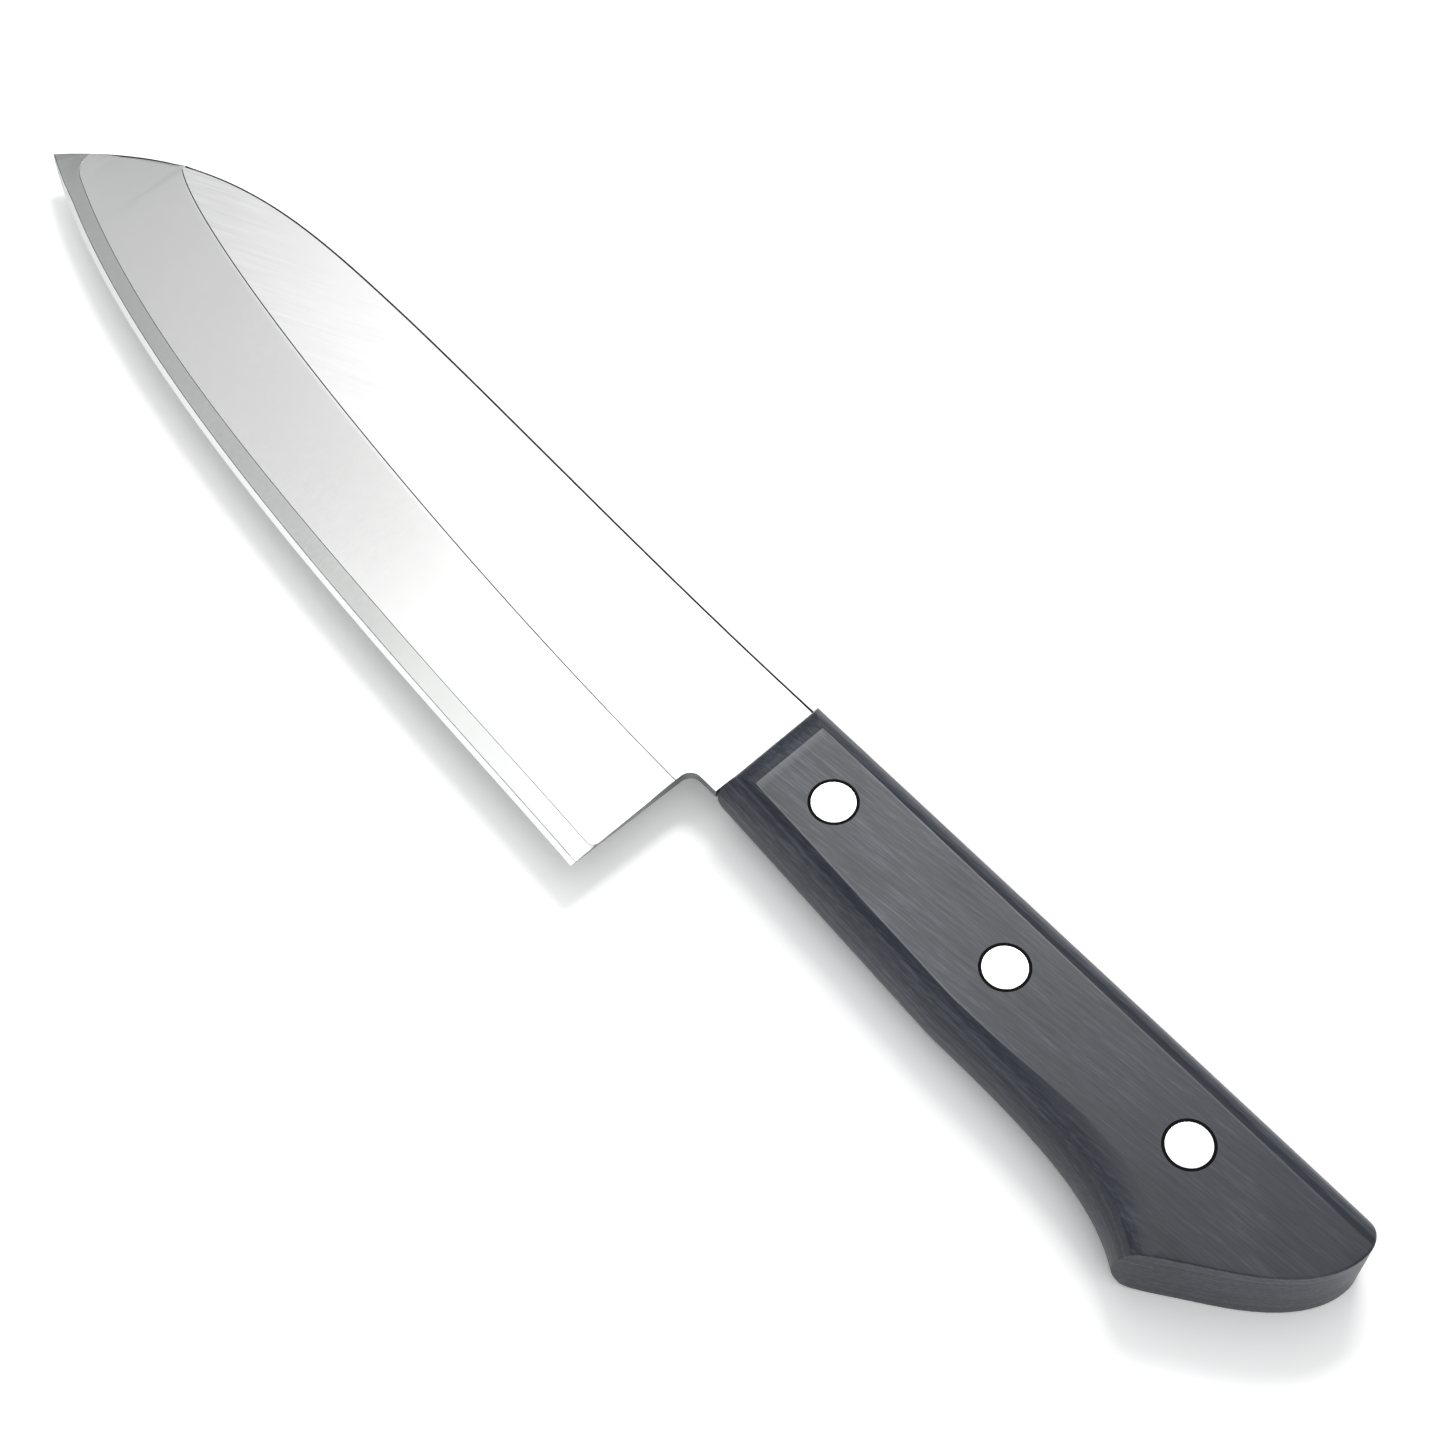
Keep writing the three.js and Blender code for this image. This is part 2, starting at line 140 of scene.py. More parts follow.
# %% [markdown]
# ## From points to a piece
# Every piece starts as one closed mesh. A helper takes lists of points and faces, joins points that fall
# on the same spot, and turns all faces outwards. Faces are shaded smooth, edges sharper than a given angle
# stay sharp, and weighted normals keep the broad faces flat right up to their rounded edges. The piece then
# rides on the knife's one body and hides the plain node that it stands for.

# %% Piece helpers
def mesh_from(name, points, faces, finish=None):
    """A closed mesh from bench points and faces. finish gives each face its place in the material list."""
    data = bpy.data.meshes.new(name)
    data.from_pydata([on_bench(*p) for p in points], [], [tuple(f) for f in faces])
    if finish is not None:
        data.polygons.foreach_set("material_index", finish)
    work = bmesh.new()
    work.from_mesh(data)
    bmesh.ops.remove_doubles(work, verts=work.verts, dist=2e-7)
    bmesh.ops.dissolve_degenerate(work, edges=work.edges, dist=1e-7)
    bmesh.ops.recalc_face_normals(work, faces=work.faces)
    work.to_mesh(data)
    work.free()
    piece = bpy.data.objects.new(name, data)
    bpy.context.scene.collection.objects.link(piece)
    return piece


def settle_modifiers(piece):
    """The piece keeps the shape that its modifiers give it."""
    shaped = piece.evaluated_get(bpy.context.evaluated_depsgraph_get())
    data = bpy.data.meshes.new_from_object(shaped)
    piece.modifiers.clear()
    old = piece.data
    piece.data = data
    bpy.data.meshes.remove(old)


def cut_away(piece, cutter):
    """The cutter's shape is taken out of the piece, and the cutter is thrown away."""
    cut = piece.modifiers.new("cut", "BOOLEAN")
    cut.operation = "DIFFERENCE"
    cut.solver = "EXACT"
    cut.object = cutter
    settle_modifiers(piece)
    bpy.data.objects.remove(cutter)


def smooth_piece(piece, sharp_degrees):
    """Smooth shading, with edges sharper than the given angle left sharp."""
    piece.data.polygons.foreach_set("use_smooth", [True] * len(piece.data.polygons))
    piece.data.set_sharp_from_angle(angle=math.radians(sharp_degrees))
    weighted = piece.modifiers.new("weighted normals", "WEIGHTED_NORMAL")
    weighted.keep_sharp = True
    weighted.weight = 80


def place(piece, node, materials):
    """The piece takes the node's place on the knife's one body."""
    for material in materials:
        piece.data.materials.append(material)
    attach(piece, "root")
    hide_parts(node)
    work = bmesh.new()
    work.from_mesh(piece.data)
    open_edges = sum(not e.is_manifold for e in work.edges)
    print(node, "->", piece.name, len(piece.data.polygons), "faces, volume",
          round(work.calc_volume() * 1e9), "mm3, open edges", open_edges)
    work.free()


# %% [markdown]
# ## Finishes: one kit of nodes
# Every finish here is a ground or sanded one, so they share a few building blocks. Noise that is stretched
# along one direction gives brushed lines or grain. The same noise, mapped to a narrow range, moves the
# roughness, and a very low bump makes the lines catch the light. All of it is measured in the frame's own
# metres, so the lines are as fine as on the real knife.

# %% Node helpers
def new_material(name):
    """A new material, its nodes, its links and its shader."""
    material = bpy.data.materials.new(name)
    material.use_nodes = True
    nodes = material.node_tree.nodes
    return material, nodes, material.node_tree.links, nodes["Principled BSDF"]


def stretched_noise(nodes, links, scale, turn=0.0, detail=3.0, seed=0.0):
    """Noise in frame coordinates, per metre along X, Y and Z, turned in the plane of the cheeks."""
    where = nodes.new("ShaderNodeTexCoord")
    turned = nodes.new("ShaderNodeMapping")
    turned.vector_type = "POINT"
    turned.inputs["Rotation"].default_value = (0, 0, math.radians(turn))
    stretch = nodes.new("ShaderNodeVectorMath")
    stretch.operation = "MULTIPLY"
    stretch.inputs[1].default_value = scale
    noise = nodes.new("ShaderNodeTexNoise")
    noise.noise_dimensions = "4D"
    noise.inputs["W"].default_value = seed
    noise.inputs["Scale"].default_value = 1.0
    noise.inputs["Detail"].default_value = detail
    links.new(where.outputs["Object"], turned.inputs["Vector"])
    links.new(turned.outputs["Vector"], stretch.inputs[0])
    links.new(stretch.outputs["Vector"], noise.inputs["Vector"])
    return noise.outputs["Fac"]


def ranged(nodes, links, source, low, high, from_low=0.3, from_high=0.7):
    """A value carried from one range to another."""
    spread = nodes.new("ShaderNodeMapRange")
    spread.inputs["From Min"].default_value = from_low
    spread.inputs["From Max"].default_value = from_high
    spread.inputs["To Min"].default_value = low
    spread.inputs["To Max"].default_value = high
    links.new(source, spread.inputs["Value"])
    return spread.outputs["Result"]


def tinted(nodes, links, source, colors):
    """A colour between the given ones, by a value from 0 to 1."""
    ramp = nodes.new("ShaderNodeValToRGB")
    while len(ramp.color_ramp.elements) < len(colors):
        ramp.color_ramp.elements.new(0.5)
    for element, (stop, color) in zip(ramp.color_ramp.elements, colors):
        element.position = stop
        element.color = (*color, 1)
    links.new(source, ramp.inputs["Fac"])
    return ramp.outputs["Color"]


def mixed(nodes, links, factor, first, second):
    """Two values mixed. factor is the share of the second one."""
    mix = nodes.new("ShaderNodeMix")
    mix.inputs["Factor"].default_value = factor
    links.new(first, mix.inputs["A"])
    links.new(second, mix.inputs["B"])
    return mix.outputs["Result"]


def combined(nodes, links, operation, first, second):
    """Two values put through one operation, such as MULTIPLY or MAXIMUM."""
    math_node = nodes.new("ShaderNodeMath")
    math_node.operation = operation
    links.new(first, math_node.inputs[0])
    links.new(second, math_node.inputs[1])
    return math_node.outputs["Value"]


def bumped(nodes, links, source, shader, height, strength=1.0):
    """A low relief, in metres, that the shader sees."""
    bump = nodes.new("ShaderNodeBump")
    bump.inputs["Strength"].default_value = strength
    bump.inputs["Distance"].default_value = height
    links.new(source, bump.inputs["Height"])
    links.new(bump.outputs["Normal"], shader.inputs["Normal"])


# %% [markdown]
# ## Steel finishes
# The outer layer is soft stainless steel. Its flats are satin: a belt leaves fine lines straight across the
# blade. The bevel is ground finer and looks smoother and a little greyer, because it faces lower light. The
# hard core is a darker steel with a matt look, and the honed edge is fresh bright metal. The rim isn't
# ground at all and stays dull. Where two grinds meet and along the eased back, the grooves and strips are
# coloured with painted shade, a near-black steel that shows as hair-fine dark lines. Each is a metal shader
# with its own tint, with brushed noise in its roughness and its relief.

# %% Steel
def steel(name, dark, light, rough, line_scale, turn, relief, cloud):
    """Ground steel. dark and light are its tints, rough its roughness range, line_scale its brushed lines,
    turn their angle, relief their height and cloud the share of soft clouds in the tint."""
    material, nodes, links, shader = new_material(name)
    lines = stretched_noise(nodes, links, line_scale, turn, detail=4, seed=1.7)
    clouds = stretched_noise(nodes, links, (45, 45, 45), 0, detail=2, seed=4.1)
    both = mixed(nodes, links, cloud, lines, clouds)
    links.new(tinted(nodes, links, both, [(0.3, dark), (0.7, light)]), shader.inputs["Base Color"])
    links.new(ranged(nodes, links, lines, *rough), shader.inputs["Roughness"])
    shader.inputs["Metallic"].default_value = 1.0
    bumped(nodes, links, lines, shader, relief)
    return material


satin_flat = steel("satin_flat", (0.80, 0.805, 0.795), (0.91, 0.915, 0.905), (0.18, 0.27),
                   (2300, 90, 90), 65, 2.5e-6, 0.3)
ground_bevel = steel("ground_bevel", (0.76, 0.765, 0.755), (0.80, 0.805, 0.795), (0.19, 0.24),
                     (7000, 700, 700), -6, 4e-7, 0.5)
core_band = steel("core_band", (0.52, 0.53, 0.525), (0.58, 0.59, 0.58), (0.20, 0.26),
                  (4200, 900, 900), -6, 5e-7, 0.6)
honed_edge = steel("honed_edge", (0.93, 0.93, 0.93), (0.98, 0.98, 0.98), (0.42, 0.5),
                   (9000, 9000, 9000), 0, 2e-7, 0.3)
unground_rim = steel("unground_rim", (0.26, 0.265, 0.27), (0.36, 0.365, 0.37), (0.36, 0.46),
                     (900, 900, 3600), 0, 9e-7, 0.3)
# Painted shade: a near-black steel for narrow grooves and eased strips, where it stands in for their shade.
painted_shade_line = steel("painted_shade_line", (0.020, 0.021, 0.022), (0.042, 0.043, 0.045), (0.50, 0.60),
                    (1500, 1500, 1500), 0, 5e-7, 0.5)
rivet_face = steel("bright_rivet", (0.93, 0.93, 0.93), (0.97, 0.97, 0.97), (0.2, 0.28),
                    (900, 7000, 900), 12, 4e-7, 0.4)
print("steels:", [m.name for m in (satin_flat, ground_bevel, core_band, honed_edge, unground_rim,
                                 painted_shade_line, rivet_face)])

# %% [markdown]
# ## Laminated wood
# The handle is dark veneer pressed with resin. On the cheeks the grain shows as short fine streaks that run
# almost along the handle, and on the walls the veneers show edge-on as long lines. One stretched noise
# gives the streaks, another that changes quickly with height gives the veneers. The streaks are a little
# lighter than the ground, and sanding leaves them slightly proud, so they get both a tint and a low relief.
# The cheeks' edges get a painted highlight: their colour is mixed paler, standing in for the light that
# the narrow edges catch. The handle's mesh therefore carries a value for it, and soft patches break it up.

# %% Handle wood
def laminated_wood():
    """Dark veneers pressed with resin, with a painted highlight along the edges of the cheeks."""
    material, nodes, links, shader = new_material("laminated_wood")
    streaks = stretched_noise(nodes, links, (130, 2600, 2600), -5, detail=5, seed=0.4)
    fine = stretched_noise(nodes, links, (300, 3400, 3400), -5, detail=3, seed=7.3)
    patches = stretched_noise(nodes, links, (22, 60, 60), 0, detail=2, seed=2.9)
    veneers = stretched_noise(nodes, links, (9, 30, 1900), 0, detail=3, seed=5.5)
    grain = mixed(nodes, links, 0.4, streaks, fine)
    layered = mixed(nodes, links, 0.42, grain, veneers)
    mottled = mixed(nodes, links, 0.2, layered, patches)
    color = tinted(nodes, links, mottled, [
        (0.37, (0.005, 0.006, 0.012)),
        (0.49, (0.022, 0.025, 0.039)),
        (0.62, (0.078, 0.085, 0.110)),
    ])
    # Painted highlight: the mesh's value mixes the cheeks' edges towards a paler colour, in soft patches.
    edge_highlight = nodes.new("ShaderNodeAttribute")
    edge_highlight.attribute_name = "edge_highlight"
    highlighted = combined(nodes, links, "MULTIPLY", edge_highlight.outputs["Fac"], ranged(nodes, links, patches, 0.15, 0.75))
    paler = nodes.new("ShaderNodeMix")
    paler.data_type = "RGBA"
    paler.inputs["B"].default_value = (0.13, 0.135, 0.15, 1)
    links.new(highlighted, paler.inputs["Factor"])
    links.new(color, paler.inputs["A"])
    links.new(paler.outputs["Result"], shader.inputs["Base Color"])
    links.new(ranged(nodes, links, layered, 0.40, 0.29), shader.inputs["Roughness"])
    shader.inputs["Specular IOR Level"].default_value = 0.5
    bumped(nodes, links, grain, shader, 2.2e-5, 0.55)
    return material


handle_wood = laminated_wood()
print("wood:", handle_wood.name, len(handle_wood.node_tree.nodes), "nodes")

# %% [markdown]
# ## The blade's plan
# Seen from the side, the outer layer is bounded by the back, the heel with its hollow corner, the neck and
# the tang, and below by the line where the core comes out. Near the point that line turns up and meets the
# back. The core runs on below it to the edge. Stations are matched pairs of points: one on the upper bound,
# one on the layer line and one on the edge, so that later faces run straight across the blade.

# %% Stations along the blade
CORE_SHOW = 4.5
HONE = 0.9
HONE_HALF = 0.13
HOOK_LENGTH = 1.3
HOOK_STATIONS = (0.25, 0.5, 0.8, 1.1)
TURN_START = 8.5
TURN_PULL = 3.4
TURN_BEND = 3.3
TURN_DROP = 0.10
TURN_CLEAR = 0.12
TURN_EDGE_END = 2.2
LAYER_MEETS = 6.3
STATIONS = 120
STATION_CROWDING = 1.25
TURN_STATIONS = 16
POINT_STATIONS = 10


def core_show(x):
    """Height of the bare core: a little narrower over the front half, and hooked up just before the heel."""
    slim = 0.55 * smooth_step(-x, 60, 150)
    hook = 1.1 * np.clip((x + HEEL_GAP + HOOK_LENGTH) / HOOK_LENGTH, 0, 1) ** 2.5
    return CORE_SHOW - slim + hook


def on_line(line, xs):
    """Points of a drawn line at the given X."""
    return [(x, float(height_at(line, x))) for x in xs]


def long_stations():
    """Upper, layer-line and edge points from the heel to where the layer line starts to turn up."""
    share = np.linspace(0, 1, STATIONS + 1)
    last = TIP.x + TURN_START
    xs = -HEEL_GAP + (last + HEEL_GAP) * (1 - (1 - share) ** STATION_CROWDING)
    xs = np.sort(np.concatenate([xs, -HEEL_GAP - np.array(HOOK_STATIONS), [RIDGE_END[0]]]))[::-1]
    layer = [(x, height_at(edge_line, x) + core_show(x)) for x in xs]
    return on_line(back_line, xs), layer, on_line(edge_line, xs)


def turn_stations(before, start, meets):
    """The same over the turn, from start to where the layer line meets the back. before is one station back."""
    start = np.array(start)
    ahead = (start - np.array(before)) / np.linalg.norm(start - np.array(before))
    last_pull = (TIP.x + TURN_BEND, meets[1] - (meets[1] - start[1]) * TURN_DROP)
    turn = cubic(start, start + ahead * TURN_PULL, last_pull, meets, TURN_STATIONS)[1:]
    share = np.linspace(0, 1, TURN_STATIONS + 1)[1:]
    # The line keeps a little under the back until it meets it.
    spare = TURN_CLEAR * (1 - share ** 4)
    layer = [(x, min(y, float(height_at(back_line, x)) - s)) for (x, y), s in zip(turn, spare)]
    upper_x = start[0] + (meets[0] - start[0]) * share ** 1.5
    edge_x = np.linspace(start[0], TIP.x + TURN_EDGE_END, TURN_STATIONS + 1)[1:]
    return on_line(back_line, upper_x), layer, on_line(edge_line, edge_x)


def layer_stations():
    """Upper, layer-line and edge points of all stations, and the back and edge points of the bare point."""
    upper, layer, edge = long_stations()
    meets_x = TIP.x + LAYER_MEETS
    meets = (meets_x, float(height_at(back_line, meets_x)))
    turned = turn_stations(layer[-2], layer[-1], meets)
    upper, layer, edge = (long + short for long, short in zip((upper, layer, edge), turned))
    point_x = np.linspace(meets_x, TIP.x, POINT_STATIONS + 1)[1:]
    point_edge = np.linspace(TIP.x + TURN_EDGE_END, TIP.x, POINT_STATIONS + 1)[1:]
    return upper, layer, edge, on_line(back_line, point_x), on_line(edge_line, point_edge)


upper_points, layer_points, edge_points, point_back, point_low = layer_stations()
ridge_count = sum(p[0] >= RIDGE_END[0] - 1e-6 for p in upper_points)
print(len(upper_points), "stations, of which", ridge_count, "have a ridge")

# %% [markdown]
# ## Neck and tang
# Behind the heel the blade narrows to a neck, with a hollow corner so that it doesn't crack there, and runs
# into the handle as the tang. All of it is a flat plate with the thickness of the stock, so its outline is
# enough.

# %% Outline of neck and tang
FRONT_DEPTH = 22.2
NECK_DEPTH = FRONT_DEPTH - 0.2
NOTCH_R = 2.2
TANG_END = HANDLE_LENGTH - 18.6
TANG_FRONT = -(FRONT_DEPTH - 4.0)
TANG_REAR = TANG_FRONT + 1.0
TANG_CORNER = 3.0
FIT = 0.3
TANG_BACK = -0.6


def neck_outline():
    """From the heel's hollow corner round the neck and the tang to the blade's back at the handle."""
    turn = np.linspace(math.pi, math.pi / 2, 13)
    corner = [(-HEEL_GAP + NOTCH_R + NOTCH_R * math.cos(a), -NECK_DEPTH - NOTCH_R + NOTCH_R * math.sin(a))
              for a in turn]
    return corner + [
        (-FIT, -NECK_DEPTH), (-FIT, TANG_FRONT), (TANG_END - TANG_CORNER, TANG_REAR),
        (TANG_END, TANG_REAR + TANG_CORNER), (TANG_END, TANG_BACK - TANG_CORNER),
        (TANG_END - TANG_CORNER, TANG_BACK), (FIT, TANG_BACK), BACK_AT_HANDLE,
    ]


neck = neck_outline()
print("tang", TANG_END, "mm long, outline", len(neck), "points")

# %% [markdown]
# ## The outer layers
# Each outer layer is a thin wedge: flat above the ridge, ground below it, and nothing at the layer line.
# The flat and its neck and tang are one plane, so they are one face. The bevel is a grid across the
# stations. A hair-fine groove follows the ridge, as a sharp grinding line does, and its faces are coloured
# with painted shade, so that it shows as a thin dark line even where both sides are bright. A strip eases
# the back, so that it doesn't cut the hand, and it carries the same painted shade. It narrows to nothing
# where the ridge runs into the back. The rest of the rim is then eased with a very small bevel.

# %% Outer layer shape
GROOVE_WIDTH = 0.10
GROOVE_DEPTH = 0.04
BACK_EASE_WIDTH = 0.46
BACK_EASE_DROP = 0.18
BEVEL_SLOPE = 0.038
BEVEL_SHARES = (0.04, 0.12, 0.3, 0.5, 0.7, 0.88, 0.96, 1.0)
PINCH_LENGTH = 1.5
RIM_EASE = 0.07
RIM_EASE_FROM = 0.35
# LINE is the finish that colours grooves and eased strips with painted shade.
FLAT, BEVEL, RIM, LINE = range(4)


def back_half(x):
    """Half thickness along the blade's back: full stock, then an even taper to the core's near the point."""
    start = RIDGE_END[0]
    end = TIP.x + LAYER_MEETS
    return STOCK / 2 - (STOCK / 2 - CORE / 2) * np.clip((start - x) / (start - end), 0, 1)


def bevel_columns(station):
    """Points across the bevel at one station, from the ridge (or the back) down to the layer line."""
    x, top = upper_points[station]
    low = np.array(layer_points[station])
    lift = back_half(x)
    if station < ridge_count - 1:
        ridge = float(height_at(ridge_line, x))
        fade = float(smooth_step(x, RIDGE_END[0] + 1, RIDGE_END[0] + 6))
        wide = GROOVE_WIDTH * min(1.0, (top - ridge) / 2)
        deep = GROOVE_DEPTH * fade
        # The first point is there twice, so that this end of the blade has as many columns as the other.
        head = [(x, ridge + wide, lift)] * 2
        head += [(x, ridge, lift - deep), (x, ridge - wide, lift - wide * BEVEL_SLOPE)]
    else:
        # The eased back narrows to nothing where the ridge runs into it, and where the layer thins out.
        thin = min(1.0, (lift - CORE / 2) / 0.5)
        pinch = min(1.0, (RIDGE_END[0] - x) / PINCH_LENGTH)
        head = [(x, top, lift - BACK_EASE_DROP * thin * pinch)]
        wide = BACK_EASE_WIDTH * pinch * min(1.0, 3 * thin)
        head += [(x + wide * 0.4, top - wide * 0.9, lift)] * 3
    start = np.array(head[-1][:2])
    rest = []
    for share in BEVEL_SHARES:
        plan = start + (low - start) * share
        rest.append((plan[0], plan[1], head[-1][2] + (CORE / 2 - head[-1][2]) * share))
    return head + rest


def outer_layer(name, side):
    """One outer layer. side is 1 for the left one and -1 for the right one."""
    rows = [bevel_columns(i) for i in range(len(upper_points))]
    width = len(rows[0])
    points = [(x, y, MID + side * z) for row in rows for x, y, z in row]
    faces, finish = [], []
    for i in range(len(rows) - 1):
        for k in range(width - 1):
            a = i * width + k
            faces.append((a, a + width, a + width + 1, a + 1))
            # The ridge groove's faces and, past the ridge, the back's eased strip are coloured with painted
            # shade.
            on_ridge = i < ridge_count - 2
            finish.append(LINE if (k in (1, 2) and on_ridge) or (k == 0 and not on_ridge) else BEVEL)
    flat = [(x, y) for x, y in back_line if 0 > x > RIDGE_END[0]][::-1]
    back = flat[:-1] + [BACK_AT_HANDLE]
    top_z = MID + side * STOCK / 2
    rest = neck[::-1][1:]
    # The back's eased edge is a strip from the rim up to the flat, coloured with painted shade. It ends inside
    # the handle.
    start = (ridge_count - 1) * width
    rim_back = [start] + list(range(len(points), len(points) + len(back)))
    for x, y in back:
        fade = min(1.0, (x - RIDGE_END[0]) / PINCH_LENGTH)
        points.append((x, y, top_z - side * BACK_EASE_DROP * fade))
    ease_back = [start + 1] + list(range(len(points), len(points) + len(back)))
    ahead = np.gradient(np.array([upper_points[ridge_count - 1]] + back), axis=0)[1:]
    ahead /= np.linalg.norm(ahead, axis=1)[:, None]
    for (x, y), along in zip(back, ahead):
        room_left = y - float(height_at(ridge_line, x))
        wide = min(BACK_EASE_WIDTH, 0.45 * room_left)
        points.append((x + along[1] * wide, y - along[0] * wide, top_z))
    for n in range(len(back)):
        faces.append((rim_back[n], rim_back[n + 1], ease_back[n + 1], ease_back[n]))
        finish.append(LINE)
    rest_ring = list(range(len(points), len(points) + len(rest)))
    points += [(x, y, top_z) for x, y in rest]
    ridge_ring = [i * width for i in range(ridge_count - 1)]
    faces.append(tuple(ease_back + rest_ring + ridge_ring))
    finish.append(FLAT)
    # The inner face lies on the core, and the rim joins it to the outer faces.
    inner_z = MID + side * CORE / 2
    tip_part = [i * width for i in range(ridge_count - 1, len(rows))][::-1]
    rim = rim_back[1:] + [ease_back[-1]] + rest_ring + list(range(width))
    low_part = [i * width + width - 1 for i in range(len(rows))]
    inner_start = len(points)
    loop = tip_part + rim + low_part[1:-1]
    points += [(points[v][0], points[v][1], inner_z) for v in loop]
    count = len(loop)
    faces.append(tuple(range(inner_start, inner_start + count)))
    finish.append(FLAT)
    for n in range(count):
        after = (n + 1) % count
        faces.append((loop[n], loop[after], inner_start + after, inner_start + n))
        finish.append(RIM)
    return mesh_from(name, points, faces, finish)


def ease_rim(piece, side, width):
    """A small bevel on the outer edges of the rim, wherever the piece is thick enough for it."""
    top = BENCH.z + (MID + side * (CORE / 2 + RIM_EASE_FROM)) * MM
    work = bmesh.new()
    work.from_mesh(piece.data)
    weight = work.edges.layers.float.new("bevel_weight_edge")
    marked = 0
    for edge in work.edges:
        if len(edge.link_faces) != 2 or edge.calc_face_angle(0) < math.radians(60):
            continue
        if all(side * (v.co.z - top) > 0 for v in edge.verts):
            edge[weight] = 1.0
            marked += 1
    work.to_mesh(piece.data)
    work.free()
    bevel = piece.modifiers.new("eased rim", "BEVEL")
    bevel.limit_method = "WEIGHT"
    bevel.width = width * MM
    bevel.segments = 3
    bevel.use_clamp_overlap = True
    settle_modifiers(piece)
    print(piece.name, "rim eased along", marked, "edges")


# %% [markdown]
# ## Holes through the tang
# Three barrels pass through the tang. Their places come from the frame's rivets, so that the holes stay on
# them. Everything round on this knife sits on these three axes, so one pair of helpers makes circles of
# points and the faces between two circles. The cutters, the rivets and the resin rings are all made with
# it.

# %% Rivet places and hole cutters
RIVETS = {}
for spot in ("front", "middle", "rear"):
    low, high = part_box(spot + "_rivet_socket")
    RIVETS[spot] = (((low.x + high.x) / 2 - BENCH.x) / MM, ((low.y + high.y) / 2 - BENCH.y) / MM)
socket_low, socket_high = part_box("front_rivet_socket")
HEAD_R = (socket_high.x - socket_low.x) / 2 / MM
BARREL_R = 2.5
RIVET_CLEAR = 0.15
ROUND_STEPS = 96
BORE_STEPS = 64
print("rivet heads", round(HEAD_R, 2), "mm in radius at", {k: round(v[0], 1) for k, v in RIVETS.items()})


def circles(spot, rings, count):
    """Points on circles round a rivet's axis. rings are (radius, height) pairs."""
    cx, cy = RIVETS[spot]
    turns = [2 * math.pi * k / count for k in range(count)]
    return [(cx + r * math.cos(a), cy + r * math.sin(a), h) for r, h in rings for a in turns]


def band(first, second, count):
    """Faces between two circles, each given by the number of its first point."""
    return [(first + k, first + (k + 1) % count, second + (k + 1) % count, second + k) for k in range(count)]


def turned_solid(name, profile, spot, count=BORE_STEPS):
    """A solid turned round a rivet's axis from (radius, height) pairs, closed by a flat disc at both ends."""
    points = circles(spot, profile, count)
    faces = []
    for ring in range(len(profile) - 1):
        faces += band(ring * count, (ring + 1) * count, count)
    faces.append(tuple(range(count)))
    faces.append(tuple(range(len(points) - count, len(points))))
    return mesh_from(name, points, faces)


def drill(piece, steps):
    """Round holes on all three rivet axes. steps are (radius, from, to) for each bore."""
    for spot in RIVETS:
        for radius, low, high in steps:
            cut_away(piece, turned_solid("bore", [(radius, low), (radius, high)], spot))


left_layer = outer_layer("left_outer_layer", 1)
right_layer = outer_layer("right_outer_layer", -1)
for piece, side, node in ((left_layer, 1, "cladding_left"), (right_layer, -1, "cladding_right")):
    ease_rim(piece, side, RIM_EASE)
    drill(piece, [(BARREL_R + RIVET_CLEAR, MID - STOCK, MID + STOCK)])
    smooth_piece(piece, 35)
    place(piece, node, [satin_flat, ground_bevel, unground_rim, painted_shade_line])

# %% [markdown]
# ## The hard core
# The core is a sheet between the outer layers that comes out below the layer line, where it is ground to a
# band, then honed to the edge on both sides. At the point it is the only layer left. The band and the honed
# strip are different finishes, so each face carries the finish that it was ground with. A fine groove marks
# where the core leaves the outer layer, and a very low lip marks where the hone starts. Their faces, and
# the wall along the bare point's back, are coloured with painted shade, so that they show as dark lines.

# %% Core shape
HONE_LIP = 0.03
HONE_FADE = 14
LIP_WIDTH = 0.12
POINT_THINS = 0.86
# CORE_LINE is the finish that colours the groove, the hone's lip and the point's back with painted shade.
BAND, HONED, CORE_RIM, CORE_LINE = range(4)


def core_columns(upper, low_edge, lift, grown):
    """Points across the bare core, from its upper bound to the edge, for one side."""
    upper = np.array(upper)
    low_edge = np.array(low_edge)
    span = np.linalg.norm(upper - low_edge)
    hone = min(HONE * grown, span * 0.4)
    hone_half = min(HONE_HALF, lift * 0.5)
    steps = []
    groove = min(GROOVE_WIDTH, span * 0.1)
    band_width = span - hone
    runs = (0.0, groove, 2 * groove, band_width * 0.4, band_width * 0.75, band_width - LIP_WIDTH, band_width)
    for run in runs:
        run = max(0.0, min(run, band_width))
        share = run / max(band_width, 1e-6)
        height = lift + (hone_half - lift) * share
        if run == groove:
            height -= GROOVE_DEPTH * min(1.0, lift / 0.3) * 0.6
        if run == band_width:
            height += HONE_LIP * grown
        plan = upper + (low_edge - upper) * (run / span if span else 0)
        steps.append((plan[0], plan[1], height))
    return steps


